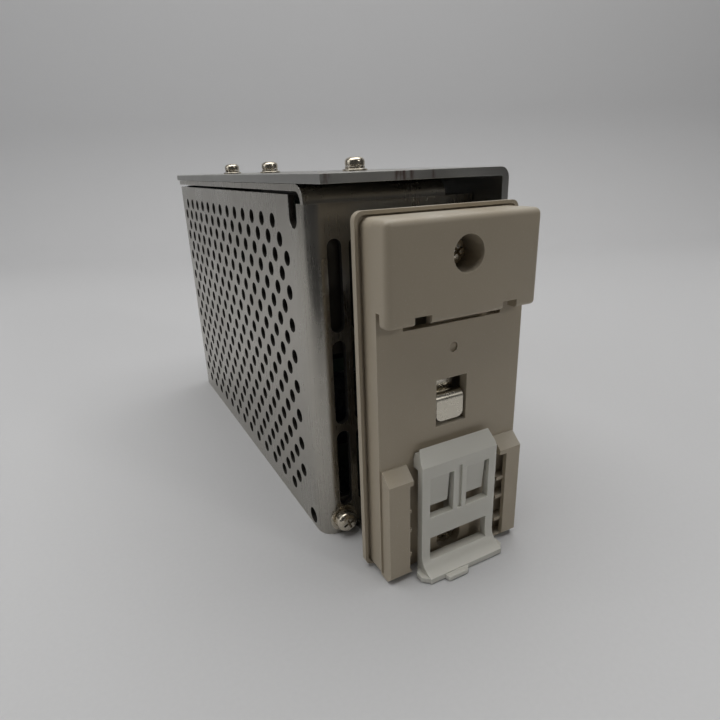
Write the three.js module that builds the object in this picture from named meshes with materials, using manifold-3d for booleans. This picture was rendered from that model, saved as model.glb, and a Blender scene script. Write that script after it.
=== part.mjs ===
// DIN rail power supply, 50 mm wide. Millimetres, +Z up, +Y towards the terminals, -Y towards the rail.
// The origin is the centre of the footprint, on the surface that the unit stands on.
import * as THREE from 'three';
import { mergeGeometries, mergeVertices } from 'three/addons/utils/BufferGeometryUtils.js';
import Module from 'manifold-3d';

const wasm = await Module();
wasm.setup();

// ---- driving dimensions -------------------------------------------------------------------
const HALF_WIDTH = 25;
const HEIGHT = 95;
const FRONT_Y = 84.3;
const PULL_TIP_Y = -84.3;
const SEAT_Y = -74.9; // face of the bracket that lies on the rail
const RIM_Y = SEAT_Y + 4.9;
const CHASSIS_REAR_Y = SEAT_Y + 10.6;
const WALL_Y = SEAT_Y + 21.2; // rear wall of the cover

const CHASSIS_SHEET = 2;
const CHASSIS_BEND = 2.6;
const CHASSIS_FLOOR_LEFT = -14.4;
const CHASSIS_INNER_X = HALF_WIDTH - CHASSIS_SHEET;

const COVER_SHEET = 1.6;
const COVER_BEND = 4.3;
const COVER_LEFT_X = -24.55;
const COVER_TOP_Z = HEIGHT - CHASSIS_SHEET - 0.1;
const COVER_BEND_Z = COVER_TOP_Z - COVER_BEND;
const COVER_SIDE_TOP_Z = 90.5;
const COVER_FLANGE_RIGHT = 14.15;
const COVER_RIGHT_X = CHASSIS_INNER_X - 0.2;
const FRONT_RETURN_X = -17.2;
const FLANGE_FRONT_GAP = 2;
const CORNER_NOTCH = { y0: WALL_Y + 4.2, y1: WALL_Y + 8.9, z: 82.9, radius: 2.3 };
const DRAIN_HOLE = { radius: 2.2, y: WALL_Y + 7.2, z: 3.1 };
const FLANGE_OVERLAP = 1; // how far the top flange's profile reaches into the rear wall

const HOLE_RADIUS = 1.85;
const HOLE_STEP = 4.3;
const HOLE_SIDES = 8;
const HOLE_ROWS = 19;
const HOLE_COLUMNS = 28;
const HOLE_FIRST_Y = WALL_Y + 12.5;
const HOLE_TOP_Z = 83.9;

const SLOT_WIDTH = 3.6;
const SLOT_LENGTH = 22.5;
const SLOT_FIRST_X = -17.5;
const SLOT_STEP_X = 5.65;
const SLOT_COLUMNS = 7;
const SLOT_FIRST_Z = 8.5;
const SLOT_STEP_Z = 24.8;
const SLOT_ROWS = 3;

const BRACKET_X = 1.3;
const BASE_HALF = 20.25;
const RIM_HALF = 21.9;
const RAIL_SLOT = 1.5;
const RAIL_TOP_Z = 67.8;
const BASE_CORNER = 2;
const BASE_LOW_Z = 0.6;
const RIM_LOW_Z = 1;
const RIM_TOP_Z = 87.7;
const RIM_LIP = 0.75;
const RIM_THICKNESS = 1.6;
const GROOVE_DEPTH = 1;
const BACK_HALF = 18.5;
const POCKET_HALF = 16.5;
const POCKET_LOW_Z = 11;
const POCKET_TOP_Z = 71;
const FACE_THICKNESS = 2.5; // plastic left between the seat and the pocket behind it
const HOOK_REACH = 4.4;
const HOOK_LOW_Z = 64.8;
const HOOK_TOP_Z = 86.5;
const HOOK_ROUND = 2.4;
const HOOK_LIP_ROUND = 0.8;
const HOOK_SCREW_Z = 78.4;
const HOOK_BORE = { radius: 4.05, depth: 2.6, offset: 0.4 };
const FOOT_BORE = { radius: 3.7, depth: 2.8 };
const DIMPLE = { radius: 1.2, depth: 0.5, z: 56.8 };
const SEAT_STEP = { x0: -12.4, x1: 14.7, z: 62.6, depth: 0.2 };
const WINDOW = { x0: -3.3, x1: 5.5, z0: 37.6, z1: 49.4 };
const CORE_HOLES = [[-12.2, -7.9], [11.3, 15.4]];
const CORE_HOLE_HEIGHT = 1.9;
const GUIDE_SLOT = { half: 1.8, z0: 11.2, z1: 28.6 };
const FOOT_LOW_Z = 0.4;
const FOOT_INSET = 0.5;
const FOOT_CHAMFER = 1.4;
const FOOT_SLOPE = 2.7;
const FOOT_POCKET_DEPTH = 4.5;
const FOOT_POCKETS = [[2.1, 5.5], [7, 12.6], [14.1, 17.5], [19.2, 26.2]];
const FOOT_REACH = 3.4;
const FOOT_TOP_Z = 30.2;
const FOOT_SCREW_Z = 5;
const LATCH_HALF = 11.1;
const LATCH_TOP_Z = 34;
const LATCH_SHELF_Z = 32.6;
const LATCH_RAMP_Z = 30.2;
const LATCH_PLATE_TOP_Z = 29;
const LATCH_LOW_Z = 0.3;
const LATCH_FACE = 4.1;
const LATCH_BACK_GAP = 0.25;
const LATCH_WALL = 2;
const LATCH_WINDOW = { inner: 1.9, outer: 8.9, z0: 16, z1: 27 };
const LATCH_LOW_WINDOW = { half: 8.7, z0: 3.4, z1: 10.2 };
const LATCH_GROOVE = { half: 0.6, depth: 0.6, z0: 16, z1: 28 };
const LATCH_POST = { half: 1.4, z0: 18, z1: 28 };
const LATCH_HEAD = { half: 3, depth: 1.1 };
const LATCH_TONGUE = { x: 5.4, half: 2.7, thickness: 0.8, z0: 18.2, z1: 28 };
const PULL_REACH = 8;
const PULL_HALF = 12.6;
const PULL_CHAMFER_X = 2;
const PULL_CHAMFER_Y = 1.8;
const PULL_TOP_Z = 1.6;
const PULL_SLOPE_Z = 3.2;
const PULL_TIP = { left: -5.2, right: 0.4, rootLeft: -5.8, rootRight: 2.4, top: 1.4 };

const BOARD_X = 14.6;
const BOARD_SHEET = 1.6;

const TERMINALS = 7;
const TERMINAL_PITCH = 10;
const TERMINAL_FIRST_Z = 17.5;
const TERMINAL_LEFT = -16.5;
const TERMINAL_RIGHT = 5.5;
const TERMINAL_BACK_Y = 64;
const TERMINAL_FLOOR_Y = 74;
const TERMINAL_FRONT_Y = 82.2;
const TERMINAL_SCREW_X = -7;

const CONTACT_GAP = 0.15;
const PLAY = 0.1;

// ---- materials ----------------------------------------------------------------------------
function finish(color, roughness, metalness) {
  return new THREE.MeshStandardMaterial({ color, roughness, metalness });
}

const aluminium = finish('#b4b4b0', 0.42, 1);
const coverMetal = finish('#a9a9a5', 0.38, 1);
const nickel = finish('#cfcabf', 0.25, 1);
const beige = finish('#a89f8c', 0.55, 0);
const milky = finish('#d9dcd8', 0.4, 0);
const darkPlastic = finish('#2a2b2c', 0.5, 0);
const clearPlastic = finish('#cfd8dc', 0.15, 0);
const boardGreen = finish('#2f5a34', 0.5, 0);
const ferrite = finish('#3a3836', 0.7, 0);
const copper = finish('#a8632e', 0.35, 1);
const sleeve = finish('#23262c', 0.4, 0);
const sheetGrey = finish('#5b6066', 0.6, 0);
const trimmerBlue = finish('#2c5c9c', 0.4, 0);
const ledGreen = finish('#3c9c50', 0.2, 0);

// ---- solids -------------------------------------------------------------------------------
function toSolid(geometry) {
  const bare = geometry.clone();
  bare.deleteAttribute('normal');
  bare.deleteAttribute('uv');
  const welded = mergeVertices(bare, 1e-4);
  return new wasm.Manifold(new wasm.Mesh({
    numProp: 3,
    vertProperties: new Float32Array(welded.attributes.position.array),
    triVerts: new Uint32Array(welded.index.array),
  }));
}

function toGeometry(solid) {
  const mesh = solid.getMesh();
  const geometry = new THREE.BufferGeometry();
  geometry.setAttribute('position', new THREE.BufferAttribute(new Float32Array(mesh.vertProperties), 3));
  geometry.setIndex(new THREE.BufferAttribute(new Uint32Array(mesh.triVerts), 1));
  geometry.computeVertexNormals();
  return geometry;
}

const model = new THREE.Group();

function piece(name, solid, material) {
  const mesh = new THREE.Mesh(toGeometry(solid), material);
  mesh.name = name;
  model.add(mesh);
}

function block(x0, x1, y0, y1, z0, z1) {
  const geometry = new THREE.BoxGeometry(x1 - x0, y1 - y0, z1 - z0);
  geometry.translate((x0 + x1) / 2, (y0 + y1) / 2, (z0 + z1) / 2);
  return toSolid(geometry);
}

// The two ends of a range in rising order, for a range that is mirrored about a middle line.
function ordered(a, b) {
  return [Math.min(a, b), Math.max(a, b)];
}

// A rod along 'x', 'y' or 'z' from one coordinate to the other, centred on the two others.
function rodGeometry(axis, radius, from, to, a, b, sides) {
  const geometry = new THREE.CylinderGeometry(radius, radius, to - from, sides);
  const middle = (from + to) / 2;
  if (axis === 'x') geometry.rotateZ(Math.PI / 2).translate(middle, a, b);
  if (axis === 'y') geometry.translate(a, middle, b);
  if (axis === 'z') geometry.rotateX(Math.PI / 2).translate(a, b, middle);
  return geometry;
}

function rod(axis, radius, from, to, a, b, sides = 12) {
  return toSolid(rodGeometry(axis, radius, from, to, a, b, sides));
}

function outline(points) {
  return new THREE.Shape(points.map(([a, b]) => new THREE.Vector2(a, b)));
}

function roundRect(x0, x1, y0, y1, radius) {
  const shape = new THREE.Shape();
  shape.moveTo(x0 + radius, y0);
  shape.absarc(x1 - radius, y0 + radius, radius, -Math.PI / 2, 0);
  shape.absarc(x1 - radius, y1 - radius, radius, 0, Math.PI / 2);
  shape.absarc(x0 + radius, y1 - radius, radius, Math.PI / 2, Math.PI);
  shape.absarc(x0 + radius, y0 + radius, radius, Math.PI, Math.PI * 1.5);
  return shape;
}

function extrude(shape, depth, arcSteps) {
  return new THREE.ExtrudeGeometry(shape, { depth, bevelEnabled: false, curveSegments: arcSteps });
}

// The shape's own axes are X and Y.
function prismZ(shape, z0, z1, arcSteps = 4) {
  return toSolid(extrude(shape, z1 - z0, arcSteps).translate(0, 0, z0));
}

// The shape's own axes are X and Z.
function prismYGeometry(shape, y0, y1, arcSteps = 4) {
  return extrude(shape, y1 - y0, arcSteps).rotateX(Math.PI / 2).translate(0, y1, 0);
}

function prismY(shape, y0, y1, arcSteps = 4) {
  return toSolid(prismYGeometry(shape, y0, y1, arcSteps));
}

// The shape's own axes are Y and Z.
function prismX(shape, x0, x1, arcSteps = 4) {
  const prism = extrude(shape, x1 - x0, arcSteps).rotateX(Math.PI / 2).rotateZ(Math.PI / 2);
  return toSolid(prism.translate(x0, 0, 0));
}

function join(first, ...others) {
  return others.reduce((whole, other) => whole.add(other), first);
}

function cut(first, ...others) {
  return others.reduce((whole, other) => whole.subtract(other), first);
}

// ---- fasteners, made standing on z = 0 with the head up -------------------------------------
function panScrew(headRadius, headHeight, shankRadius, shankLength) {
  const profile = [
    [0, -shankLength],
    [shankRadius, -shankLength],
    [shankRadius, 0],
    [headRadius, 0],
    [headRadius, headHeight * 0.5],
    [headRadius * 0.75, headHeight],
    [0, headHeight],
  ].map(([r, z]) => new THREE.Vector2(r, z));
  const head = toSolid(new THREE.LatheGeometry(profile, 12).rotateX(Math.PI / 2));
  const arm = headRadius * 0.6;
  const half = headRadius * 0.13;
  const floor = headHeight * 0.4;
  const across = block(-arm, arm, -half, half, floor, headHeight + 1);
  const along = block(-half, half, -arm, arm, floor, headHeight + 1);
  return cut(head, across, along);
}

function flatWasher(outer, inner, height) {
  return cut(rod('z', outer, 0, height, 0, 0), rod('z', inner, -1, height + 1, 0, 0));
}

function springWasher(outer, inner, height) {
  const gap = 0.5;
  return cut(flatWasher(outer, inner, height), block(0, outer + 1, -gap, gap, -1, height + 1));
}

function placed(solid, axis, x, y, z) {
  const turns = { '+z': [0, 0, 0], '-y': [90, 0, 0], '+y': [-90, 0, 0], '-x': [0, -90, 0] };
  return solid.rotate(turns[axis]).translate([x, y, z]);
}

// ---- chassis: top plate, right wall, floor and the flange that carries the bracket -------------
function chassisProfile() {
  const outer = CHASSIS_BEND;
  const inner = CHASSIS_BEND - CHASSIS_SHEET;
  const shape = new THREE.Shape();
  shape.moveTo(CHASSIS_FLOOR_LEFT, 0);
  shape.lineTo(HALF_WIDTH - outer, 0);
  shape.absarc(HALF_WIDTH - outer, outer, outer, -Math.PI / 2, 0);
  shape.absarc(HALF_WIDTH - outer, HEIGHT - outer, outer, 0, Math.PI / 2);
  shape.lineTo(-HALF_WIDTH, HEIGHT);
  shape.lineTo(-HALF_WIDTH, HEIGHT - CHASSIS_SHEET);
  shape.absarc(HALF_WIDTH - outer, HEIGHT - outer, inner, Math.PI / 2, 0, true);
  shape.absarc(HALF_WIDTH - outer, outer, inner, 0, -Math.PI / 2, true);
  shape.lineTo(CHASSIS_FLOOR_LEFT, CHASSIS_SHEET);
  return shape;
}

const TOP_SCREWS = [[0.7, -31], [-6, 18.5], [-9, 54.5]];
const COVER_SCREW = { x: -18.6, z: 4.8 };
const BRACKET_FLANGE_LEFT = -8;
const BRACKET_FLANGE_LOW_Z = 1;
const EAR_LEFT = -21;
const EAR_HALF_WIDTH = 4;
const EAR_TOP_Z = 10;
const EAR_DEPTH = 14;
const SCREW_RADIUS = 1.5;
const TOP_CUT_Z = [90, 99]; // a range that spans every sheet under the top screws
const STANDOFFS = [[-44, 12], [-44, 80], [57, 12], [57, 80]];

function chassis() {
  const shell = prismY(chassisProfile(), CHASSIS_REAR_Y, FRONT_Y);
  const flange = block(BRACKET_FLANGE_LEFT, CHASSIS_INNER_X + 1, CHASSIS_REAR_Y,
    CHASSIS_REAR_Y + CHASSIS_SHEET, BRACKET_FLANGE_LOW_Z, HOOK_TOP_Z);
  const earY = WALL_Y + COVER_SHEET + CONTACT_GAP;
  const tongue = block(EAR_LEFT, CHASSIS_FLOOR_LEFT + 1, earY, earY + EAR_DEPTH, 0, CHASSIS_SHEET);
  const ear = block(EAR_LEFT, COVER_SCREW.x + EAR_HALF_WIDTH, earY, earY + CHASSIS_SHEET, 0, EAR_TOP_Z);
  const topHoles = TOP_SCREWS.map(([x, y]) => rod('z', SCREW_RADIUS + 2 * PLAY, ...TOP_CUT_Z, x, y));
  const flangeHoles = [HOOK_SCREW_Z, FOOT_SCREW_Z].map((z) => (
    rod('y', SCREW_RADIUS + PLAY, CHASSIS_REAR_Y - 1, CHASSIS_REAR_Y + 3, BRACKET_X, z)));
  const earHole = rod('y', SCREW_RADIUS + PLAY, earY - 1, earY + 3, COVER_SCREW.x, COVER_SCREW.z);
  return cut(join(shell, flange, tongue, ear), ...topHoles, ...flangeHoles, earHole);
}

piece('chassis', chassis(), aluminium);

// ---- cover: perforated side, slotted rear wall, top flange and front return --------------------
function coverPlan() {
  const outer = COVER_BEND;
  const inner = COVER_BEND - COVER_SHEET;
  const left = COVER_LEFT_X;
  const shape = new THREE.Shape();
  shape.moveTo(COVER_RIGHT_X, WALL_Y);
  shape.lineTo(COVER_RIGHT_X, WALL_Y + COVER_SHEET);
  shape.absarc(left + outer, WALL_Y + outer, inner, -Math.PI / 2, -Math.PI, true);
  shape.absarc(left + outer, FRONT_Y - outer, inner, Math.PI, Math.PI / 2, true);
  shape.lineTo(FRONT_RETURN_X, FRONT_Y - COVER_SHEET);
  shape.lineTo(FRONT_RETURN_X, FRONT_Y);
  shape.absarc(left + outer, FRONT_Y - outer, outer, Math.PI / 2, Math.PI);
  shape.absarc(left + outer, WALL_Y + outer, outer, Math.PI, Math.PI * 1.5);
  return shape;
}

function topFlangeProfile() {
  const outer = COVER_BEND;
  const inner = COVER_BEND - COVER_SHEET;
  const low = COVER_BEND_Z - FLANGE_OVERLAP;
  const frontY = FRONT_Y - FLANGE_FRONT_GAP;
  const shape = new THREE.Shape();
  shape.moveTo(WALL_Y, low);
  shape.lineTo(WALL_Y, COVER_BEND_Z);
  shape.absarc(WALL_Y + outer, COVER_BEND_Z, outer, Math.PI, Math.PI / 2, true);
  shape.lineTo(frontY, COVER_TOP_Z);
  shape.lineTo(frontY, COVER_TOP_Z - COVER_SHEET);
  shape.absarc(WALL_Y + outer, COVER_BEND_Z, inner, Math.PI / 2, Math.PI);
  shape.lineTo(WALL_Y + COVER_SHEET, low);
  return shape;
}

function perforations() {
  const holes = [];
  for (let row = 0; row < HOLE_ROWS; row += 1) {
    const cropped = row === 0 || row === HOLE_ROWS - 1 ? 2 : row % 2;
    for (let column = cropped; column < HOLE_COLUMNS; column += 2) {
      const y = HOLE_FIRST_Y + column * HOLE_STEP;
      const z = HOLE_TOP_Z - row * HOLE_STEP;
      holes.push(rodGeometry('x', HOLE_RADIUS, COVER_LEFT_X - 1, COVER_LEFT_X + 3, y, z, HOLE_SIDES));
    }
  }
  return toSolid(mergeGeometries(holes));
}

function rearSlots() {
  const slots = [];
  for (let column = 0; column < SLOT_COLUMNS; column += 1) {
    for (let row = 0; row < SLOT_ROWS; row += 1) {
      const x = SLOT_FIRST_X + column * SLOT_STEP_X;
      const z = SLOT_FIRST_Z + row * SLOT_STEP_Z;
      const half = SLOT_WIDTH / 2;
      const slot = roundRect(x - half, x + half, z, z + SLOT_LENGTH, half - 0.01);
      slots.push(prismYGeometry(slot, WALL_Y - 1, WALL_Y + 3, 2));
    }
  }
  return toSolid(mergeGeometries(slots));
}

function cover() {
  const wrap = prismZ(coverPlan(), 0, COVER_SIDE_TOP_Z);
  const rearTrim = block(COVER_LEFT_X - 1, COVER_RIGHT_X + 1, WALL_Y - 1, CORNER_NOTCH.y0,
    COVER_BEND_Z, HEIGHT);
  const flange = prismX(topFlangeProfile(), COVER_LEFT_X, COVER_FLANGE_RIGHT, 5);
  const floorGap = block(CHASSIS_FLOOR_LEFT - 2 * PLAY, COVER_RIGHT_X + 1, WALL_Y - 1, WALL_Y + 3,
    -1, CHASSIS_SHEET + 2 * PLAY);
  const { y0, y1, z: notchZ, radius } = CORNER_NOTCH;
  const notch = roundRect(y0, y1, notchZ, HEIGHT + 2 * radius, radius);
  const notchCut = prismX(notch, COVER_LEFT_X - 1, COVER_LEFT_X + COVER_SHEET + 1);
  const body = join(cut(wrap, rearTrim, notchCut, floorGap), flange);
  const screwHoles = TOP_SCREWS.map(([x, y]) => rod('z', SCREW_RADIUS + PLAY, ...TOP_CUT_Z, x, y));
  const rearHole = rod('y', SCREW_RADIUS + 2 * PLAY, WALL_Y - 1, WALL_Y + 3, COVER_SCREW.x, COVER_SCREW.z);
  const drainHole = rod('x', DRAIN_HOLE.radius, COVER_LEFT_X - 1, COVER_LEFT_X + 3,
    DRAIN_HOLE.y, DRAIN_HOLE.z);
  return cut(body, perforations(), rearSlots(), ...screwHoles, rearHole, drainHole);
}

piece('cover', cover(), coverMetal);

// ---- heat plate behind the rear wall --------------------------------------------------------
const PLATE_SHEET = 2;
const PLATE_TOP_Z = COVER_TOP_Z - COVER_SHEET - CONTACT_GAP;
const PLATE_REAR_Y = WALL_Y + COVER_SHEET + CONTACT_GAP;
const PLATE_LOW_Z = 52;
const PLATE_FRONT_Y = -12;
const PLATE_BEND = 3;
const PLATE_X = [-20, 13.5];

function heatPlate() {
  const bendY = PLATE_REAR_Y + PLATE_BEND;
  const bendZ = PLATE_TOP_Z - PLATE_BEND;
  const shape = new THREE.Shape();
  shape.moveTo(PLATE_REAR_Y, PLATE_LOW_Z);
  shape.lineTo(PLATE_REAR_Y, bendZ);
  shape.absarc(bendY, bendZ, PLATE_BEND, Math.PI, Math.PI / 2, true);
  shape.lineTo(PLATE_FRONT_Y, PLATE_TOP_Z);
  shape.lineTo(PLATE_FRONT_Y, PLATE_TOP_Z - PLATE_SHEET);
  shape.absarc(bendY, bendZ, PLATE_BEND - PLATE_SHEET, Math.PI / 2, Math.PI);
  shape.lineTo(PLATE_REAR_Y + PLATE_SHEET, PLATE_LOW_Z);
  const [x, y] = TOP_SCREWS[0];
  return cut(prismX(shape, ...PLATE_X), rod('z', SCREW_RADIUS + 2 * PLAY, PLATE_LOW_Z, HEIGHT, x, y));
}

piece('rear_heat_plate', heatPlate(), aluminium);

// ---- screws with their washers ----------------------------------------------------------------
const WASHER_HEIGHT = 0.5;
const SPRING_HEIGHT = 0.8;
const SKIN = 0.02; // the clearance left between faces that touch
const STACK = WASHER_HEIGHT + SPRING_HEIGHT + 2 * SKIN;
const TOP_WASHER_RADIUS = 3.4;
const TOP_HEAD_RADIUS = 2.7;
const REAR_WASHER_RADIUS = 3.9;
const REAR_HEAD_RADIUS = 2.9;
const HEAD_HEIGHT = 2.2;
const WASHER_BORE = SCREW_RADIUS + 2 * PLAY;

function topFastener(index) {
  const [x, y] = TOP_SCREWS[index];
  const label = `${index + 1}`;
  const washer = flatWasher(TOP_WASHER_RADIUS, WASHER_BORE, WASHER_HEIGHT);
  const spring = springWasher(TOP_HEAD_RADIUS, WASHER_BORE, SPRING_HEIGHT);
  const screw = panScrew(TOP_HEAD_RADIUS, HEAD_HEIGHT, SCREW_RADIUS, index === 0 ? 10 : 8);
  piece(`top_flat_washer_${label}`, placed(washer, '+z', x, y, HEIGHT + SKIN), nickel);
  piece(`top_spring_washer_${label}`,
    placed(spring, '+z', x, y, HEIGHT + WASHER_HEIGHT + 2 * SKIN), nickel);
  piece(`top_screw_${label}`, placed(screw, '+z', x, y, HEIGHT + STACK + SKIN), nickel);
}

TOP_SCREWS.forEach((_, index) => topFastener(index));

function coverFastener() {
  const { x, z } = COVER_SCREW;
  const washer = flatWasher(REAR_WASHER_RADIUS, WASHER_BORE, WASHER_HEIGHT);
  const spring = springWasher(3, WASHER_BORE, SPRING_HEIGHT);
  const screw = panScrew(REAR_HEAD_RADIUS, HEAD_HEIGHT, SCREW_RADIUS, 6);
  piece('cover_flat_washer', placed(washer, '-y', x, WALL_Y - SKIN, z), nickel);
  piece('cover_spring_washer', placed(spring, '-y', x, WALL_Y - WASHER_HEIGHT - 2 * SKIN, z), nickel);
  piece('cover_screw', placed(screw, '-y', x, WALL_Y - STACK - SKIN, z), nickel);
}

coverFastener();

// ---- power semiconductors under the top screws --------------------------------------------------
const PACKAGE = { half: 5, rear: 4.5, front: 8.5, height: 4.4 };
const LEG = { pitch: 2.54, half: 0.4, length: 4.5, low: 2.6, high: 2 };

function powerPackage(index) {
  const [x, y] = TOP_SCREWS[index];
  const top = index === 0 ? PLATE_TOP_Z - PLATE_SHEET - PLAY : PLATE_TOP_Z;
  const body = block(x - PACKAGE.half, x + PACKAGE.half, y - PACKAGE.rear, y + PACKAGE.front,
    top - PACKAGE.height, top);
  const hole = rod('z', SCREW_RADIUS + 2 * PLAY, top - PACKAGE.height - 1, top + 1, x, y);
  const legY = y + PACKAGE.front - 0.5;
  const legs = [-LEG.pitch, 0, LEG.pitch].map((offset) => (
    block(x + offset - LEG.half, x + offset + LEG.half, legY, legY + LEG.length + 0.5,
      top - LEG.low, top - LEG.high)));
  return join(cut(body, hole), ...legs);
}

['rectifier', 'switching_transistor', 'output_diode'].forEach((name, index) => {
  piece(name, powerPackage(index), darkPlastic);
});

// ---- rail bracket -------------------------------------------------------------------------------
const FOOT_INNER = LATCH_HALF + 2.2;

function bracketBase() {
  const body = roundRect(BRACKET_X - BASE_HALF, BRACKET_X + BASE_HALF, BASE_LOW_Z, HOOK_TOP_Z, BASE_CORNER);
  const rim = roundRect(BRACKET_X - RIM_HALF, BRACKET_X + RIM_HALF, RIM_LOW_Z, RIM_TOP_Z, BASE_CORNER);
  const inside = RIM_HALF - RIM_LIP;
  const lip = roundRect(BRACKET_X - inside, BRACKET_X + inside, RIM_LOW_Z + RIM_LIP, RIM_TOP_Z - RIM_LIP,
    BASE_CORNER - RIM_LIP / 2);
  const floorY = RIM_Y + GROOVE_DEPTH;
  const groove = cut(prismY(lip, RIM_Y - 1, floorY), prismY(body, RIM_Y - 2, floorY + 1));
  const back = block(BRACKET_X - BACK_HALF, BRACKET_X + BACK_HALF, floorY, CHASSIS_REAR_Y - CONTACT_GAP,
    BASE_LOW_Z + BASE_CORNER, HOOK_TOP_Z - BASE_CORNER);
  const pocket = block(BRACKET_X - POCKET_HALF, BRACKET_X + POCKET_HALF, SEAT_Y + FACE_THICKNESS,
    CHASSIS_REAR_Y + 1, POCKET_LOW_Z, POCKET_TOP_Z);
  const rimPlate = prismY(rim, RIM_Y, RIM_Y + RIM_THICKNESS);
  return cut(join(prismY(body, SEAT_Y, floorY), rimPlate, back), groove, pocket);
}

function hookBlock() {
  const face = SEAT_Y - HOOK_REACH;
  const slotY = SEAT_Y - RAIL_SLOT;
  const side = new THREE.Shape();
  side.moveTo(SEAT_Y + 1, RAIL_TOP_Z);
  side.lineTo(SEAT_Y + 1, HOOK_TOP_Z);
  side.absarc(face + HOOK_ROUND, HOOK_TOP_Z - HOOK_ROUND, HOOK_ROUND, Math.PI / 2, Math.PI);
  side.absarc(face + HOOK_LIP_ROUND, HOOK_LOW_Z + HOOK_LIP_ROUND, HOOK_LIP_ROUND, Math.PI, Math.PI * 1.5);
  side.lineTo(slotY, HOOK_LOW_Z);
  side.lineTo(slotY, RAIL_TOP_Z);
  const left = BRACKET_X - BASE_HALF;
  const right = BRACKET_X + BASE_HALF;
  const plan = roundRect(left, right, face, SEAT_Y + 2 * BASE_CORNER, BASE_CORNER);
  return prismX(side, left, right).intersect(prismZ(plan, HOOK_LOW_Z - 1, HEIGHT));
}

function foot(side) {
  const inner = BRACKET_X + side * FOOT_INNER;
  const outer = BRACKET_X + side * (BASE_HALF - FOOT_INSET);
  const face = SEAT_Y - FOOT_REACH;
  const profile = outline([
    [SEAT_Y + 1, FOOT_LOW_Z],
    [SEAT_Y + 1, FOOT_TOP_Z],
    [SEAT_Y - FOOT_INSET, FOOT_TOP_Z],
    [face, FOOT_TOP_Z - FOOT_SLOPE],
    [face, FOOT_LOW_Z + FOOT_CHAMFER],
    [face + FOOT_CHAMFER, FOOT_LOW_Z],
  ]);
  const pocketX = ordered(inner - side, inner + side * FOOT_POCKET_DEPTH);
  const pockets = FOOT_POCKETS.map(([low, high]) => (
    block(...pocketX, face + FOOT_CHAMFER, SEAT_Y - 3 * PLAY, low, high)));
  return cut(prismX(profile, ...ordered(inner, outer)), ...pockets);
}

// A cut from in front of the bracket's face down to a depth behind the seat.
function seatCut(x0, x1, z0, z1, depth) {
  return block(x0, x1, SEAT_Y - 1, SEAT_Y + depth, z0, z1);
}

function bracket() {
  const solid = join(bracketBase(), hookBlock(), foot(-1), foot(1));
  const hookBore = rod('y', HOOK_BORE.radius, SEAT_Y - HOOK_REACH - 1, SEAT_Y + HOOK_BORE.depth,
    BRACKET_X + HOOK_BORE.offset, HOOK_SCREW_Z, 24);
  const footBore = rod('y', FOOT_BORE.radius, SEAT_Y - 1, SEAT_Y + FOOT_BORE.depth,
    BRACKET_X, FOOT_SCREW_Z, 20);
  const shanks = [HOOK_SCREW_Z, FOOT_SCREW_Z].map((z) => (
    rod('y', SCREW_RADIUS + 3 * PLAY, SEAT_Y - 1, CHASSIS_REAR_Y + 1, BRACKET_X, z)));
  const dimple = rod('y', DIMPLE.radius, SEAT_Y - 1, SEAT_Y + DIMPLE.depth, BRACKET_X, DIMPLE.z);
  const window = seatCut(WINDOW.x0, WINDOW.x1, WINDOW.z0, WINDOW.z1, FACE_THICKNESS + 1);
  const guide = seatCut(BRACKET_X - GUIDE_SLOT.half, BRACKET_X + GUIDE_SLOT.half,
    GUIDE_SLOT.z0, GUIDE_SLOT.z1, FACE_THICKNESS + 1);
  const step = seatCut(SEAT_STEP.x0, SEAT_STEP.x1, SEAT_STEP.z, RAIL_TOP_Z, SEAT_STEP.depth);
  const coreHoles = CORE_HOLES.map(([x0, x1]) => (
    block(x0, x1, SEAT_Y - HOOK_REACH - 1, SEAT_Y - PLAY, HOOK_LOW_Z - 1, HOOK_LOW_Z + CORE_HOLE_HEIGHT)));
  return cut(solid, hookBore, footBore, ...shanks, dimple, window, guide, step, ...coreHoles);
}

piece('rail_bracket', bracket(), beige);

function bracketScrew(name, z, headY) {
  const shankLength = CHASSIS_REAR_Y + CHASSIS_SHEET - headY;
  piece(name, placed(panScrew(2.9, 2.1, SCREW_RADIUS, shankLength), '-y', BRACKET_X, headY, z), nickel);
}

bracketScrew('hook_screw', HOOK_SCREW_Z, SEAT_Y + HOOK_BORE.depth - CONTACT_GAP / 2);
bracketScrew('foot_screw', FOOT_SCREW_Z, SEAT_Y + FOOT_BORE.depth - CONTACT_GAP / 2);

// ---- sprung contact that shows in the bracket's window ------------------------------------------
const CONTACT = { sheet: 0.5, low: 38.4, top: 43.4, curl: 1.9, x0: -2.8, x1: 5 };
const CONTACT_STEP_Z = 34;
const CONTACT_FOOT_Z = [24, 32];

function railContact() {
  const { sheet, low, top, curl } = CONTACT;
  const frontY = SEAT_Y + 0.5;
  const curlY = frontY + curl;
  const rearY = curlY + curl;
  const footY = CHASSIS_REAR_Y - CONTACT_GAP - 0.4;
  const slopeRise = 0.4;
  const shape = new THREE.Shape();
  shape.moveTo(frontY, low);
  shape.lineTo(frontY, top);
  shape.absarc(curlY, top, curl, Math.PI, 0, true);
  shape.lineTo(rearY, CONTACT_STEP_Z);
  shape.lineTo(footY, CONTACT_FOOT_Z[1]);
  shape.lineTo(footY, CONTACT_FOOT_Z[0]);
  shape.lineTo(footY - sheet, CONTACT_FOOT_Z[0]);
  shape.lineTo(footY - sheet, CONTACT_FOOT_Z[1] - slopeRise);
  shape.lineTo(rearY - sheet, CONTACT_STEP_Z - slopeRise);
  shape.lineTo(rearY - sheet, top);
  shape.absarc(curlY, top, curl - sheet, 0, Math.PI);
  shape.lineTo(frontY + sheet, low);
  return prismX(shape, CONTACT.x0, CONTACT.x1);
}

piece('rail_contact', railContact(), nickel);

// ---- latch --------------------------------------------------------------------------------------
const LATCH_FRONT_Y = SEAT_Y - LATCH_FACE;
const LATCH_BACK_Y = SEAT_Y - LATCH_BACK_GAP;
const PULL_Y = SEAT_Y - PULL_REACH;

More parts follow.
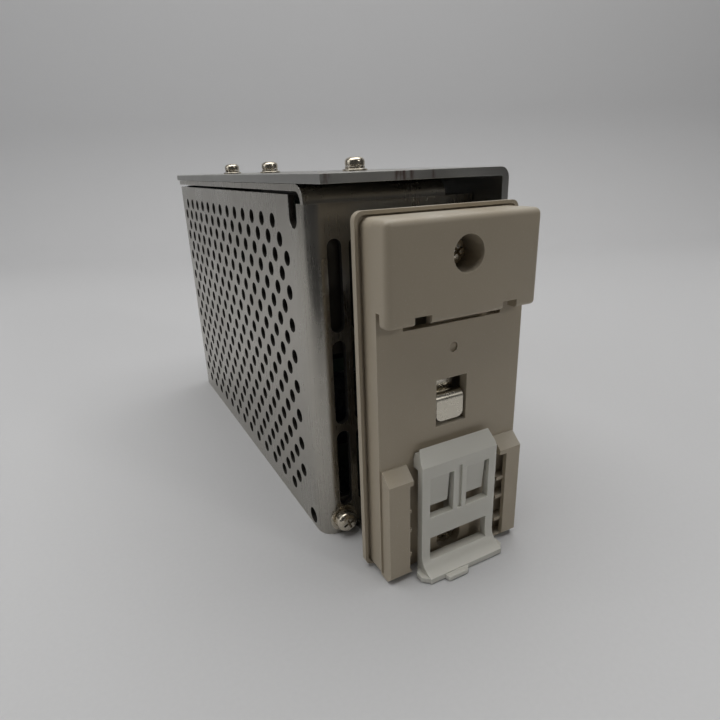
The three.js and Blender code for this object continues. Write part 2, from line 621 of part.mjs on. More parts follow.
function latchPlate() {
  const profile = outline([
    [LATCH_BACK_Y, LATCH_PLATE_TOP_Z],
    [LATCH_BACK_Y, LATCH_SHELF_Z],
    [SEAT_Y - RAIL_SLOT, LATCH_SHELF_Z],
    [SEAT_Y - RAIL_SLOT, LATCH_TOP_Z],
    [LATCH_FRONT_Y, LATCH_RAMP_Z],
    [LATCH_FRONT_Y, PULL_SLOPE_Z],
    [PULL_Y, PULL_TOP_Z],
    [PULL_Y, LATCH_LOW_Z],
    [LATCH_FRONT_Y + LATCH_WALL, LATCH_LOW_Z],
    [LATCH_FRONT_Y + LATCH_WALL, LATCH_PLATE_TOP_Z],
  ]);
  const plate = prismX(profile, BRACKET_X - LATCH_HALF, BRACKET_X + LATCH_HALF);
  const through = [LATCH_FRONT_Y - 1, LATCH_BACK_Y + 1];
  const windows = [-1, 1].map((side) => {
    const span = ordered(BRACKET_X + side * LATCH_WINDOW.inner, BRACKET_X + side * LATCH_WINDOW.outer);
    return block(...span, ...through, LATCH_WINDOW.z0, LATCH_WINDOW.z1);
  });
  const lower = block(BRACKET_X - LATCH_LOW_WINDOW.half, BRACKET_X + LATCH_LOW_WINDOW.half, ...through,
    LATCH_LOW_WINDOW.z0, LATCH_LOW_WINDOW.z1);
  const groove = block(BRACKET_X - LATCH_GROOVE.half, BRACKET_X + LATCH_GROOVE.half, LATCH_FRONT_Y - 1,
    LATCH_FRONT_Y + LATCH_GROOVE.depth, LATCH_GROOVE.z0, LATCH_GROOVE.z1);
  return cut(plate, ...windows, lower, groove);
}

// The pull bar is wider than the plate and has a chamfer at each end.
function pullBar() {
  const root = LATCH_FRONT_Y + LATCH_WALL;
  const points = [
    [LATCH_HALF - 2 * PLAY, root],
    [PULL_HALF, LATCH_FRONT_Y],
    [PULL_HALF, PULL_Y + PULL_CHAMFER_Y],
    [PULL_HALF - PULL_CHAMFER_X, PULL_Y],
  ];
  const right = points.map(([x, y]) => [BRACKET_X + x, y]);
  const left = points.map(([x, y]) => [BRACKET_X - x, y]).reverse();
  const bar = prismZ(outline([...right, ...left]), LATCH_LOW_Z, PULL_TOP_Z);
  const tip = prismZ(outline([
    [PULL_TIP.rootLeft, PULL_Y + 1],
    [PULL_TIP.left, PULL_TIP_Y],
    [PULL_TIP.right, PULL_TIP_Y],
    [PULL_TIP.rootRight, PULL_Y + 1],
  ]), LATCH_LOW_Z, PULL_TIP.top);
  return join(bar, tip);
}

// The sloping tongue behind each of the two upper windows.
function latchTongue(side) {
  const x = BRACKET_X + side * LATCH_TONGUE.x;
  const low = LATCH_BACK_Y - PLAY;
  const profile = outline([
    [LATCH_FRONT_Y + 1, LATCH_TONGUE.z1],
    [low, LATCH_TONGUE.z0],
    [low - LATCH_TONGUE.thickness, LATCH_TONGUE.z0],
    [LATCH_FRONT_Y + 1 - LATCH_TONGUE.thickness, LATCH_TONGUE.z1],
  ]);
  return prismX(profile, x - LATCH_TONGUE.half, x + LATCH_TONGUE.half);
}

function latch() {
  const headBack = SEAT_Y + FACE_THICKNESS + CONTACT_GAP * 2 + LATCH_HEAD.depth;
  const post = block(BRACKET_X - LATCH_POST.half, BRACKET_X + LATCH_POST.half, LATCH_FRONT_Y + 1,
    headBack, LATCH_POST.z0, LATCH_POST.z1);
  const head = block(BRACKET_X - LATCH_HEAD.half, BRACKET_X + LATCH_HEAD.half,
    headBack - LATCH_HEAD.depth, headBack, LATCH_POST.z0, LATCH_POST.z1);
  return join(latchPlate(), pullBar(), latchTongue(-1), latchTongue(1), post, head);
}

piece('rail_latch', latch(), milky);

// ---- circuit board on its standoffs ----------------------------------------------------------
const BOARD = { y0: -49, y1: 62, z0: 5, z1: 86 };
const SHEET = { thickness: 0.4, margin: 1 };
const STANDOFF_RADIUS = 3;

function circuitBoard() {
  const board = block(BOARD_X, BOARD_X + BOARD_SHEET, BOARD.y0, BOARD.y1, BOARD.z0, BOARD.z1);
  return cut(board, ...STANDOFFS.map(([y, z]) => (
    rod('x', SCREW_RADIUS + 2 * PLAY, BOARD_X - 1, BOARD_X + 3, y, z))));
}

piece('circuit_board', circuitBoard(), boardGreen);

function insulationSheet() {
  const x1 = CHASSIS_INNER_X - PLAY;
  const sheet = block(x1 - SHEET.thickness, x1, BOARD.y0 - SHEET.margin, BOARD.y1,
    BOARD.z0 - SHEET.margin, BOARD.z1 + SHEET.margin);
  return cut(sheet, ...STANDOFFS.map(([y, z]) => (
    rod('x', STANDOFF_RADIUS + 4 * PLAY, x1 - 2, x1 + 1, y, z))));
}

piece('insulation_sheet', insulationSheet(), sheetGrey);

STANDOFFS.forEach(([y, z], index) => {
  const label = `${index + 1}`;
  const from = BOARD_X + BOARD_SHEET + PLAY / 2;
  const post = rod('x', STANDOFF_RADIUS, from, CHASSIS_INNER_X - PLAY / 2, y, z, 6);
  const thread = rod('x', SCREW_RADIUS + PLAY, from - 1, from + 5, y, z);
  piece(`board_standoff_${label}`, cut(post, thread), nickel);
  const screw = panScrew(2.7, 2, SCREW_RADIUS, 5);
  piece(`board_screw_${label}`, placed(screw, '-x', BOARD_X - PLAY / 2, y, z), nickel);
});

// ---- parts on the board: they stand on it towards -X ---------------------------------------------
const CORE = { x0: -5, x1: 9, y0: -8, y1: 24, z0: 33, z1: 63 };
const CORE_LIMB = 3.5;
const CORE_LEG = { y0: 3, y1: 13 };
const CORE_YOKE = 5;
const WINDING_CLEARANCE = 0.4;

function transformerCore() {
  const outer = roundRect(CORE.y0, CORE.y1, CORE.z0, CORE.z1, 1);
  const spans = [[CORE.y0 + CORE_LIMB, CORE_LEG.y0], [CORE_LEG.y1, CORE.y1 - CORE_LIMB]];
  const windows = spans.map(([y0, y1]) => (
    prismX(roundRect(y0, y1, CORE.z0 + CORE_YOKE, CORE.z1 - CORE_YOKE, 0.4), CORE.x0 - 1, CORE.x1 + 1)));
  return cut(prismX(outer, CORE.x0, CORE.x1), ...windows);
}

function transformerWinding() {
  const gap = WINDING_CLEARANCE;
  const y0 = CORE.y0 + CORE_LIMB + gap;
  const y1 = CORE.y1 - CORE_LIMB - gap;
  const around = roundRect(CORE.x0 - 4, BOARD_X - 1, y0, y1, 4);
  const z0 = CORE.z0 + CORE_YOKE + gap;
  const z1 = CORE.z1 - CORE_YOKE - gap;
  const leg = block(CORE.x0 - gap, CORE.x1 + gap, CORE_LEG.y0 - gap, CORE_LEG.y1 + gap, z0 - 1, z1 + 1);
  return cut(prismZ(around, z0, z1), leg);
}

piece('transformer_core', transformerCore(), ferrite);
piece('transformer_winding', transformerWinding(), copper);

const CAPACITOR_EDGE = 1;

function capacitor({ radius, length, y, z }) {
  const profile = [
    [0, 0],
    [radius - CAPACITOR_EDGE, 0],
    [radius, CAPACITOR_EDGE],
    [radius, length - CAPACITOR_EDGE],
    [radius - CAPACITOR_EDGE, length],
    [0, length],
  ].map(([r, h]) => new THREE.Vector2(r, h));
  const can = new THREE.LatheGeometry(profile, 20).rotateZ(Math.PI / 2);
  return toSolid(can).translate([BOARD_X - 2 * CONTACT_GAP, y, z]);
}

const BULK = { radius: 11, length: 32, y: -30, z: 26 };
const OUTPUT_1 = { radius: 6.25, length: 25, y: 48, z: 24 };
const OUTPUT_2 = { radius: 6.25, length: 25, y: 48, z: 39 };

piece('bulk_capacitor', capacitor(BULK), sleeve);
piece('output_capacitor_1', capacitor(OUTPUT_1), sleeve);
piece('output_capacitor_2', capacitor(OUTPUT_2), sleeve);

const CHOKE = { radius: 8, tube: 4.2, y: 46, z: 64 };
const FILTER = { radius: 10.5, bore: 4, left: -2, y: -32, z: 62 };

function outputChoke() {
  const ring = new THREE.TorusGeometry(CHOKE.radius, CHOKE.tube, 8, 18).rotateY(Math.PI / 2);
  return toSolid(ring).translate([BOARD_X - CHOKE.tube - 0.6, CHOKE.y, CHOKE.z]);
}

piece('output_choke', outputChoke(), copper);

function lineFilter() {
  const { radius, bore, left, y, z } = FILTER;
  return cut(rod('x', radius, left, BOARD_X - 0.4, y, z, 20), rod('x', bore, left - 1, BOARD_X + 1, y, z));
}

piece('line_filter_choke', lineFilter(), ferrite);

// ---- terminal block --------------------------------------------------------------------------------
function terminalZ(index) {
  return TERMINAL_FIRST_Z + index * TERMINAL_PITCH;
}

const HINGE_X = 7.4;
const HINGE_Y = 82.9;
const HINGE_RADIUS = 1;
const BLOCK_LOW_Z = TERMINAL_FIRST_Z - 5.8;
const BLOCK_HIGH_Z = terminalZ(TERMINALS - 1) + 5.8;
const BAY_HALF = 4.2;
const BAY_SIDE_WALL = 3;
const EAR_THICKNESS = 2;
const TERMINAL_SHANK = 1.75;

function terminalBlock() {
  const body = block(TERMINAL_LEFT, TERMINAL_RIGHT, TERMINAL_BACK_Y, TERMINAL_FRONT_Y,
    BLOCK_LOW_Z, BLOCK_HIGH_Z);
  const cuts = [];
  for (let index = 0; index < TERMINALS; index += 1) {
    const z = terminalZ(index);
    cuts.push(block(TERMINAL_LEFT - 1, TERMINAL_RIGHT - BAY_SIDE_WALL, TERMINAL_FLOOR_Y,
      TERMINAL_FRONT_Y + 1, z - BAY_HALF, z + BAY_HALF));
    cuts.push(rod('y', TERMINAL_SHANK + CONTACT_GAP, TERMINAL_FLOOR_Y - 8, TERMINAL_FLOOR_Y + 1,
      TERMINAL_SCREW_X, z));
  }
  const ears = [BLOCK_LOW_Z, BLOCK_HIGH_Z - EAR_THICKNESS].map((z) => {
    const ear = block(TERMINAL_RIGHT - 1, HINGE_X + HINGE_RADIUS + 0.6, TERMINAL_FRONT_Y - 3, FRONT_Y - PLAY,
      z, z + EAR_THICKNESS);
    return cut(ear, rod('z', HINGE_RADIUS + PLAY, z - 1, z + EAR_THICKNESS + 1, HINGE_X, HINGE_Y));
  });
  return join(cut(body, ...cuts), ...ears);
}

piece('terminal_block', terminalBlock(), darkPlastic);

const CLAMP_HALF_X = 4.4;
const CLAMP_HALF_Z = 3.9;
const CLAMP_SHEET = 1;

function terminalFastener(index) {
  const z = terminalZ(index);
  const label = `${index + 1}`;
  const plateY = TERMINAL_FLOOR_Y + PLAY / 2;
  const plate = block(TERMINAL_SCREW_X - CLAMP_HALF_X, TERMINAL_SCREW_X + CLAMP_HALF_X,
    plateY, plateY + CLAMP_SHEET, z - CLAMP_HALF_Z, z + CLAMP_HALF_Z);
  const hole = rod('y', TERMINAL_SHANK + 2 * PLAY, plateY - 1, plateY + 2, TERMINAL_SCREW_X, z);
  piece(`terminal_clamp_${label}`, cut(plate, hole), nickel);
  const screw = panScrew(3.4, 2.4, TERMINAL_SHANK, 6);
  piece(`terminal_screw_${label}`,
    placed(screw, '+y', TERMINAL_SCREW_X, plateY + CLAMP_SHEET + PLAY / 2, z), nickel);
}

for (let index = 0; index < TERMINALS; index += 1) terminalFastener(index);

// ---- clear cover over the terminals ------------------------------------------------------------------
const LID_SHEET = 1.2;
const LID_GAP = 2 * PLAY;

function terminalCover() {
  const low = BLOCK_LOW_Z + EAR_THICKNESS + LID_GAP;
  const high = BLOCK_HIGH_Z - EAR_THICKNESS - LID_GAP;
  const rearY = TERMINAL_FRONT_Y + LID_GAP;
  const plate = block(TERMINAL_LEFT + LID_GAP, HINGE_X, rearY, rearY + LID_SHEET, low, high);
  const pin = rod('z', HINGE_RADIUS, BLOCK_LOW_Z + 0.4, BLOCK_HIGH_Z - 0.4, HINGE_X, HINGE_Y);
  return join(plate, pin);
}

piece('terminal_cover', terminalCover(), clearPlastic);

// ---- front panel with the lamp and the voltage trimmer -------------------------------------------------
const PANEL_BACK_Y = 78;
const PANEL_FRONT_Y = 80;
const PANEL_TOP_Z = 90.8;
const PANEL_LEFT_GAP = 2;
const CONTROL_X = 15;
const TRIMMER_Z = 60;
const TRIMMER_HALF = 4.5;
const TRIMMER_HOLE = 3.3;
const LAMP_Z = 74;
const LAMP_HOLE = 1.8;
const VENTS_Z = [15, 22, 29, 36, 43];
const VENT = { half: 4.5, height: 3, corner: 1.2 };

function frontPanel() {
  const through = [PANEL_BACK_Y - 1, PANEL_FRONT_Y + 1];
  const face = roundRect(COVER_LEFT_X + PANEL_LEFT_GAP, CHASSIS_INNER_X - 2 * CONTACT_GAP,
    CHASSIS_SHEET + 2 * CONTACT_GAP, PANEL_TOP_Z, 1);
  const opening = block(TERMINAL_LEFT - 2, HINGE_X + 2, ...through,
    BLOCK_LOW_Z - 2 * CONTACT_GAP, BLOCK_HIGH_Z + 2 * CONTACT_GAP);
  const trimmer = rod('y', TRIMMER_HOLE, ...through, CONTROL_X, TRIMMER_Z, 16);
  const lamp = rod('y', LAMP_HOLE, ...through, CONTROL_X, LAMP_Z);
  const vents = VENTS_Z.map((z) => {
    const vent = roundRect(CONTROL_X - VENT.half, CONTROL_X + VENT.half, z, z + VENT.height, VENT.corner);
    return prismY(vent, ...through, 1);
  });
  return cut(prismY(face, PANEL_BACK_Y, PANEL_FRONT_Y, 2), opening, trimmer, lamp, ...vents);
}

piece('front_panel', frontPanel(), darkPlastic);
piece('trimmer_body', block(CONTROL_X - TRIMMER_HALF, CONTROL_X + TRIMMER_HALF, 70, 76,
  TRIMMER_Z - TRIMMER_HALF, TRIMMER_Z + TRIMMER_HALF), trimmerBlue);

const ROTOR = { radius: 2.6, back: 76.2, front: PANEL_FRONT_Y - 0.6, slotHalf: 0.4, slotReach: 2.1 };

function trimmerRotor() {
  const disc = rod('y', ROTOR.radius, ROTOR.back, ROTOR.front, CONTROL_X, TRIMMER_Z, 20);
  const spans = [[ROTOR.slotReach, ROTOR.slotHalf], [ROTOR.slotHalf, ROTOR.slotReach]];
  const slots = spans.map(([a, b]) => (
    block(CONTROL_X - a, CONTROL_X + a, ROTOR.front - 1, ROTOR.front + 1, TRIMMER_Z - b, TRIMMER_Z + b)));
  return cut(disc, ...slots);
}

piece('trimmer_rotor', trimmerRotor(), milky);

function lampLens() {
  const profile = [[0, 0], [1.5, 0], [1.5, 8], [1.3, 8.9], [0.8, 9.5], [0, 9.7]]
    .map(([r, h]) => new THREE.Vector2(r, h));
  return toSolid(new THREE.LatheGeometry(profile, 12)).translate([CONTROL_X, PANEL_BACK_Y - 6, LAMP_Z]);
}

piece('lamp_lens', lampLens(), ledGreen);

export default model;
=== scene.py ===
import math

import bmesh
import bpy
from mathutils import Matrix, Vector
from mathutils.geometry import delaunay_2d_cdt


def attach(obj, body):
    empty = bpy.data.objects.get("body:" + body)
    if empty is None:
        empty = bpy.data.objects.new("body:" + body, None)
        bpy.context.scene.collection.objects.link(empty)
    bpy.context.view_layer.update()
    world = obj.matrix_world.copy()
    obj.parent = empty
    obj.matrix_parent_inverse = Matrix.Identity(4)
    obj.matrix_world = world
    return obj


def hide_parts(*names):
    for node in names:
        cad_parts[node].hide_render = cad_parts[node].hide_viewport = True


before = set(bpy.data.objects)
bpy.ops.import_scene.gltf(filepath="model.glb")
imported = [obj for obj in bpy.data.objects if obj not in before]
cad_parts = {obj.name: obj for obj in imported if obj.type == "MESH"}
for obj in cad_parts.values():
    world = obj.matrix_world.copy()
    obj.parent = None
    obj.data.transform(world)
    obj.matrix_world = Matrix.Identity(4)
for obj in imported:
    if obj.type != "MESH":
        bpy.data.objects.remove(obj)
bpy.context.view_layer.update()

MM = 0.001
HOUSING, LATCH = "housing", "latch"


# ---- camera ----
CAMERA_PLACE = (-71.105, -166.546, 96.073)
CAMERA_YAW, CAMERA_PITCH, CAMERA_ROLL = 0.484257, 0.348501, -0.035190
FOCAL_LENGTH, SENSOR_WIDTH = 26.623, 36


def level_heading():
    """The camera's heading and its right-hand direction, both level."""
    return (
        Vector((math.sin(CAMERA_YAW), math.cos(CAMERA_YAW), 0)),
        Vector((math.cos(CAMERA_YAW), -math.sin(CAMERA_YAW), 0)),
    )


def make_camera():
    data = bpy.data.cameras.new("Camera")
    data.sensor_width = SENSOR_WIDTH
    data.lens = FOCAL_LENGTH
    data.clip_start = 0.005
    camera = bpy.data.objects.new("Camera", data)
    heading, level = level_heading()
    ahead = heading * math.cos(CAMERA_PITCH) - Vector((0, 0, math.sin(CAMERA_PITCH)))
    raised = level.cross(ahead)
    right = level * math.cos(CAMERA_ROLL) + raised * math.sin(CAMERA_ROLL)
    up = raised * math.cos(CAMERA_ROLL) - level * math.sin(CAMERA_ROLL)
    turn = Matrix((right, up, -ahead)).transposed()
    camera.matrix_world = Matrix.Translation(Vector(CAMERA_PLACE) * MM) @ turn.to_4x4()
    bpy.context.scene.collection.objects.link(camera)
    bpy.context.scene.camera = camera


make_camera()


# ---- shader groups ----
class Group:
    """A shader group under construction: numbers in with their defaults, numbers out."""

    def __init__(self, name, inputs, outputs):
        self.tree = bpy.data.node_groups.new(name, "ShaderNodeTree")
        new_socket = self.tree.interface.new_socket
        for label, default in inputs.items():
            socket = new_socket(label, in_out="INPUT", socket_type="NodeSocketFloat")
            socket.default_value = default
        for label in outputs:
            new_socket(label, in_out="OUTPUT", socket_type="NodeSocketFloat")
        self.start = self.tree.nodes.new("NodeGroupInput")
        self.end = self.tree.nodes.new("NodeGroupOutput")
        self.place = self.node("ShaderNodeTexCoord").outputs["Object"]

    def node(self, kind, links=None, **settings):
        return add_node(self.tree, kind, links, **settings)

    def value(self, label):
        return self.start.outputs[label]

    def give(self, label, socket):
        self.tree.links.new(socket, self.end.inputs[label])


def add_node(tree, kind, links=None, **settings):
    node = tree.nodes.new(kind)
    for key, setting in settings.items():
        setattr(node, key, setting)
    for key, source in (links or {}).items():
        if isinstance(source, bpy.types.NodeSocket):
            tree.links.new(source, node.inputs[key])
        else:
            node.inputs[key].default_value = source
    return node


def set_inputs(node, values):
    """Sets a node's inputs by their labels, where _ stands for a space."""
    for label, value in values.items():
        node.inputs[label.replace("_", " ")].default_value = value


def maths(owner, operation, first, second, clamp=False):
    links = {0: first, 1: second}
    return owner.node("ShaderNodeMath", links, operation=operation, use_clamp=clamp).outputs[0]


def times(owner, first, second, clamp=False):
    return maths(owner, "MULTIPLY", first, second, clamp)


def plus(owner, first, second):
    return maths(owner, "ADD", first, second)


def fit_range(owner, source, low, high, out_low=0.0, out_high=1.0):
    labels = ("Value", "From Min", "From Max", "To Min", "To Max")
    links = dict(zip(labels, (source, low, high, out_low, out_high)))
    return owner.node("ShaderNodeMapRange", links).outputs["Result"]


def noise(owner, place, scale, detail=3.0, roughness=0.55):
    links = {"Vector": place, "Scale": scale, "Detail": detail, "Roughness": roughness}
    return owner.node("ShaderNodeTexNoise", links).outputs["Fac"]


def give_grain(made, drift, height):
    made.give("Shade", plus(made, drift, 1.0))
    made.give("Roughness Shift", drift)
    made.give("Height", times(made, height, made.value("Depth")))
    return made.tree


def rolled_grain_group(name, stretch):
    """Fine parallel lines that rolling leaves in sheet metal, drawn out where stretch is small."""
    made = Group(
        name,
        {"Lines per Metre": 4000.0, "Contrast": 0.1, "Depth": 0.5},
        ("Shade", "Roughness Shift", "Height"),
    )
    drawn = made.node("ShaderNodeMapping", {"Vector": made.place, "Scale": stretch}).outputs["Vector"]
    lines = noise(made, drawn, made.value("Lines per Metre"), 2.0)
    cloud = noise(made, made.place, 45.0, 4.0)
    mixed = plus(made, times(made, lines, 0.5), times(made, cloud, 0.5))
    centred = maths(made, "SUBTRACT", mixed, 0.5)
    swing = times(made, centred, made.value("Contrast"))
    return give_grain(made, swing, lines)


def edge_wear_group():
    """A mask that is bright along outer edges, broken up as handling leaves them."""
    made = Group(
        "Edge Wear",
        {"Width": 0.0004, "Amount": 1.0, "Break-up": 0.5},
        ["Mask"],
    )
    bevel = made.node("ShaderNodeBevel", {"Radius": made.value("Width")}, samples=4)
    flat = made.node("ShaderNodeNewGeometry").outputs["Normal"]
    normals = {0: bevel.outputs["Normal"], 1: flat}
    lean = made.node("ShaderNodeVectorMath", normals, operation="DOT_PRODUCT")
    edge = fit_range(made, lean.outputs["Value"], 0.995, 0.85)
    patches = fit_range(made, noise(made, made.place, 700.0, 3.0), 0.35, 0.65)
    kept = maths(made, "SUBTRACT", 1.0, made.value("Break-up"))
    broken = plus(made, times(made, patches, made.value("Break-up")), kept)
    worn = times(made, edge, broken)
    made.give("Mask", times(made, worn, made.value("Amount"), True))
    return made.tree


def moulded_grain_group():
    """The fine spark-eroded texture and slow colour drift of moulded plastic."""
    made = Group(
        "Moulded Grain",
        {"Grain per Metre": 3000.0, "Mottle": 0.04, "Depth": 0.4},
        ("Shade", "Roughness Shift", "Height"),
    )
    fine = noise(made, made.place, made.value("Grain per Metre"), 2.0, 0.7)
    slow = noise(made, made.place, 60.0, 3.0)
    drift = times(made, maths(made, "SUBTRACT", slow, 0.5), made.value("Mottle"))
    return give_grain(made, drift, fine)


def dust_and_top_light_group():
    """Fine dust that settles on surfaces that face up, and specks everywhere; the lightening of
    up-facing surfaces is also painted top light.
    """
    made = Group("Settled Dust and Painted Top Light", {"Amount": 0.3}, ["Mask"])
    normal = made.node("ShaderNodeNewGeometry").outputs["Normal"]
    up = made.node("ShaderNodeSeparateXYZ", {0: normal}).outputs["Z"]
    facing = fit_range(made, up, 0.2, 1.0)
    specks = fit_range(made, noise(made, made.place, 2600.0, 2.0), 0.62, 0.75)
    haze = fit_range(made, noise(made, made.place, 90.0, 4.0), 0.3, 0.7)
    # Up-facing surfaces made lighter: partly settled dust, partly painted top light.
    top_dust_and_light = times(made, haze, facing)
    total = plus(made, top_dust_and_light, times(made, specks, 0.35))
    made.give("Mask", times(made, total, made.value("Amount"), True))
    return made.tree


def smudge_group():
    """Slow patches of handling marks, for gloss and a little tone."""
    made = Group("Handling Smudges", {"Size": 0.02, "Amount": 0.1}, ["Shift"])
    per_metre = maths(made, "DIVIDE", 1.0, made.value("Size"))
    patches = fit_range(made, noise(made, made.place, per_metre, 5.0, 0.6), 0.3, 0.7, -0.5, 0.5)
    made.give("Shift", times(made, patches, made.value("Amount")))
    return made.tree


SHEARED_SPANS = ((-25, -22.2), (-7.6, -2.0), (2.1, 3.6))
SHEARED_FROM_Z = 92.5


def shear_marks_group():
    """Brown burnished patches where a shear blade rubbed the rear edge of the top sheet."""
    made = Group("Shear Marks", {"Amount": 0.8}, ["Mask"])
    normal = made.node("ShaderNodeNewGeometry").outputs["Normal"]
    rearward = made.node("ShaderNodeSeparateXYZ", {0: normal}).outputs["Y"]
    along = made.node("ShaderNodeSeparateXYZ", {0: made.place})
    high = fit_range(made, along.outputs["Z"], SHEARED_FROM_Z * MM, (SHEARED_FROM_Z + 0.7) * MM)
    facing = times(made, fit_range(made, rearward, -0.5, -0.9), high)
    patches = None
    for start, end in SHEARED_SPANS:
        rise = fit_range(made, along.outputs["X"], start * MM, (start + 0.6) * MM)
        fall = fit_range(made, along.outputs["X"], end * MM, (end - 1.2) * MM)
        band = times(made, rise, fall)
        patches = band if patches is None else maths(made, "MAXIMUM", patches, band)
    drawn = made.node("ShaderNodeMapping", {"Vector": made.place, "Scale": (1.0, 1.0, 0.25)})
    streaks = fit_range(made, noise(made, drawn.outputs["Vector"], 900.0, 4.0), 0.38, 0.62)
    mask = times(made, times(made, facing, patches), streaks)
    made.give("Mask", times(made, mask, made.value("Amount"), True))
    return made.tree


ROLLED_GRAIN = rolled_grain_group("Rolled Grain Lengthwise", (1.0, 0.02, 1.0))
UPRIGHT_GRAIN = rolled_grain_group("Rolled Grain Upright", (1.0, 1.0, 0.015))
EDGE_WEAR = edge_wear_group()
MOULDED_GRAIN = moulded_grain_group()
SETTLED_DUST_AND_TOP_LIGHT = dust_and_top_light_group()
HANDLING_SMUDGES = smudge_group()
SHEAR_MARKS = shear_marks_group()


# ---- materials ----
class Material:
    """A material whose one Principled shader takes its variation from the shader groups."""

    def __init__(self, name, **values):
        self.data = bpy.data.materials.new(name)
        self.data.use_nodes = True
        self.tree = self.data.node_tree
        self.shader = self.tree.nodes["Principled BSDF"]
        set_inputs(self.shader, values)

    def node(self, kind, links=None, **settings):
        return add_node(self.tree, kind, links, **settings)

    def group(self, tree, **values):
        node = self.tree.nodes.new("ShaderNodeGroup")
        node.node_tree = tree
        set_inputs(node, values)
        return node.outputs

    def place(self):
        return self.node("ShaderNodeTexCoord").outputs["Object"]

    def mix(self, factor, first, second, blend="MIX"):
        node = self.node("ShaderNodeMix", data_type="RGBA", blend_type=blend)
        for slot, source in ((0, factor), (6, first), (7, second)):
            if isinstance(source, bpy.types.NodeSocket):
                self.tree.links.new(source, node.inputs[slot])
            else:
                node.inputs[slot].default_value = source if slot == 0 else colour(source)
        return node.outputs[2]

    def shaded(self, base, shade):
        """The base colour made lighter or darker by a value near one."""
        grey = self.node("ShaderNodeCombineColor", {0: shade, 1: shade, 2: shade}).outputs[0]
        return self.mix(1.0, base, grey, "MULTIPLY")

    def roughness(self, centre, *shifts):
        total = centre
        for shift in shifts:
            total = plus(self, total, shift)
        self.feed("Roughness", maths(self, "MAXIMUM", total, 0.05))

    def smudged(self, centre, size, amount, *shifts):
        """A roughness that also changes with handling marks of a size."""
        marks = self.group(HANDLING_SMUDGES, Size=size, Amount=amount)["Shift"]
        self.roughness(centre, *shifts, marks)

    def feed(self, label, source):
        self.tree.links.new(source, self.shader.inputs[label])

    def bump(self, height, distance, strength=0.5):
        links = {"Height": height, "Distance": distance, "Strength": strength}
        self.feed("Normal", self.node("ShaderNodeBump", links).outputs["Normal"])


def colour(source):
    """Eight-bit display colour to a scene-linear one."""
    linear = [((c / 255 + 0.055) / 1.055) ** 2.4 if c > 10 else c / 255 / 12.92 for c in source]
    return (*linear, 1.0)


# Colours mixed in by the dust mask: dust, and painted top light on up-facing surfaces.
DUST_AND_TOP_LIGHT_ON_METAL, DUST_AND_TOP_LIGHT_ON_PLASTIC = (176, 172, 164), (190, 184, 172)
SHEAR_BROWN = (98, 74, 66)


def sheet_metal(name, base, worn, rough, lines=3200.0, contrast=0.5, dust_and_top_light=0.25, sheared=False,
                run=ROLLED_GRAIN):
    made = Material(name, Metallic=1.0)
    grain = made.group(run, Lines_per_Metre=lines, Contrast=contrast, Depth=0.6)
    wear = made.group(EDGE_WEAR, Width=0.00035, Amount=0.8)
    settled_and_lit = made.group(SETTLED_DUST_AND_TOP_LIGHT, Amount=dust_and_top_light)
    tone = made.shaded(base, grain["Shade"])
    tone = made.mix(wear["Mask"], tone, worn)
    if sheared:
        tone = made.mix(made.group(SHEAR_MARKS, Amount=0.8)["Mask"], tone, SHEAR_BROWN)
    # Dust and painted top light lighten the up-facing surfaces.
    made.feed("Base Color", made.mix(settled_and_lit["Mask"], tone, DUST_AND_TOP_LIGHT_ON_METAL))
    made.smudged(rough, 0.018, 0.12, grain["Roughness Shift"])
    made.bump(grain["Height"], 0.000008, 0.25)
    return made


def moulded(name, base, edge, rough, grain_depth=0.6, mottle=0.10, dust_and_top_light=0.2):
    made = Material(name)
    grain = made.group(MOULDED_GRAIN, Grain_per_Metre=3200.0, Mottle=mottle, Depth=grain_depth)
    wear = made.group(EDGE_WEAR, Width=0.0005, Amount=0.55)
    settled_and_lit = made.group(SETTLED_DUST_AND_TOP_LIGHT, Amount=dust_and_top_light)
    tone = made.shaded(base, grain["Shade"])
    tone = made.mix(wear["Mask"], tone, edge)
    # Dust and painted top light lighten the up-facing surfaces.
    made.feed("Base Color", made.mix(settled_and_lit["Mask"], tone, DUST_AND_TOP_LIGHT_ON_PLASTIC))
    made.smudged(rough, 0.012, 0.14, grain["Roughness Shift"])
    made.bump(grain["Height"], 0.00003, 0.5)
    return made


def nickel_plate():
    made = Material("Nickel plate", Metallic=1.0)
    wear = made.group(EDGE_WEAR, Width=0.00025, Amount=0.7)
    fine = noise(made, made.place(), 5200.0, 3.0)
    tint = made.mix(fit_range(made, fine, 0.35, 0.7), (196, 186, 168), (222, 214, 198))
    made.feed("Base Color", made.mix(wear["Mask"], tint, (238, 232, 220)))
    made.smudged(0.24, 0.0015, 0.16)
    made.bump(fine, 0.000015, 0.4)
    return made


def milky_nylon():
    made = moulded("Milky nylon", (210, 208, 199), (226, 226, 218), 0.42, 0.4, 0.05, 0.1)
    set_inputs(made.shader, {
        "Subsurface Weight": 0.35,
        "Subsurface Radius": (1.0, 1.0, 0.95),
        "Subsurface Scale": 0.0015,
    })
    return made


def clear_lid():
    made = Material("Clear polycarbonate", Transmission_Weight=0.9, IOR=1.58)
    grain = made.group(MOULDED_GRAIN, Grain_per_Metre=1400.0, Mottle=0.03, Depth=0.3)
    made.feed("Base Color", made.shaded((226, 234, 238), grain["Shade"]))
    made.smudged(0.14, 0.01, 0.12)
    made.bump(grain["Height"], 0.00001, 0.2)
    return made


def spring_strip():
    made = Material("Plated spring strip", Metallic=1.0)
    grain = made.group(UPRIGHT_GRAIN, Lines_per_Metre=5200.0, Contrast=0.12, Depth=0.2)
    made.feed("Base Color", made.shaded((206, 200, 186), grain["Shade"]))
    made.smudged(0.27, 0.004, 0.08)
    made.bump(grain["Height"], 0.000003, 0.1)
    return made


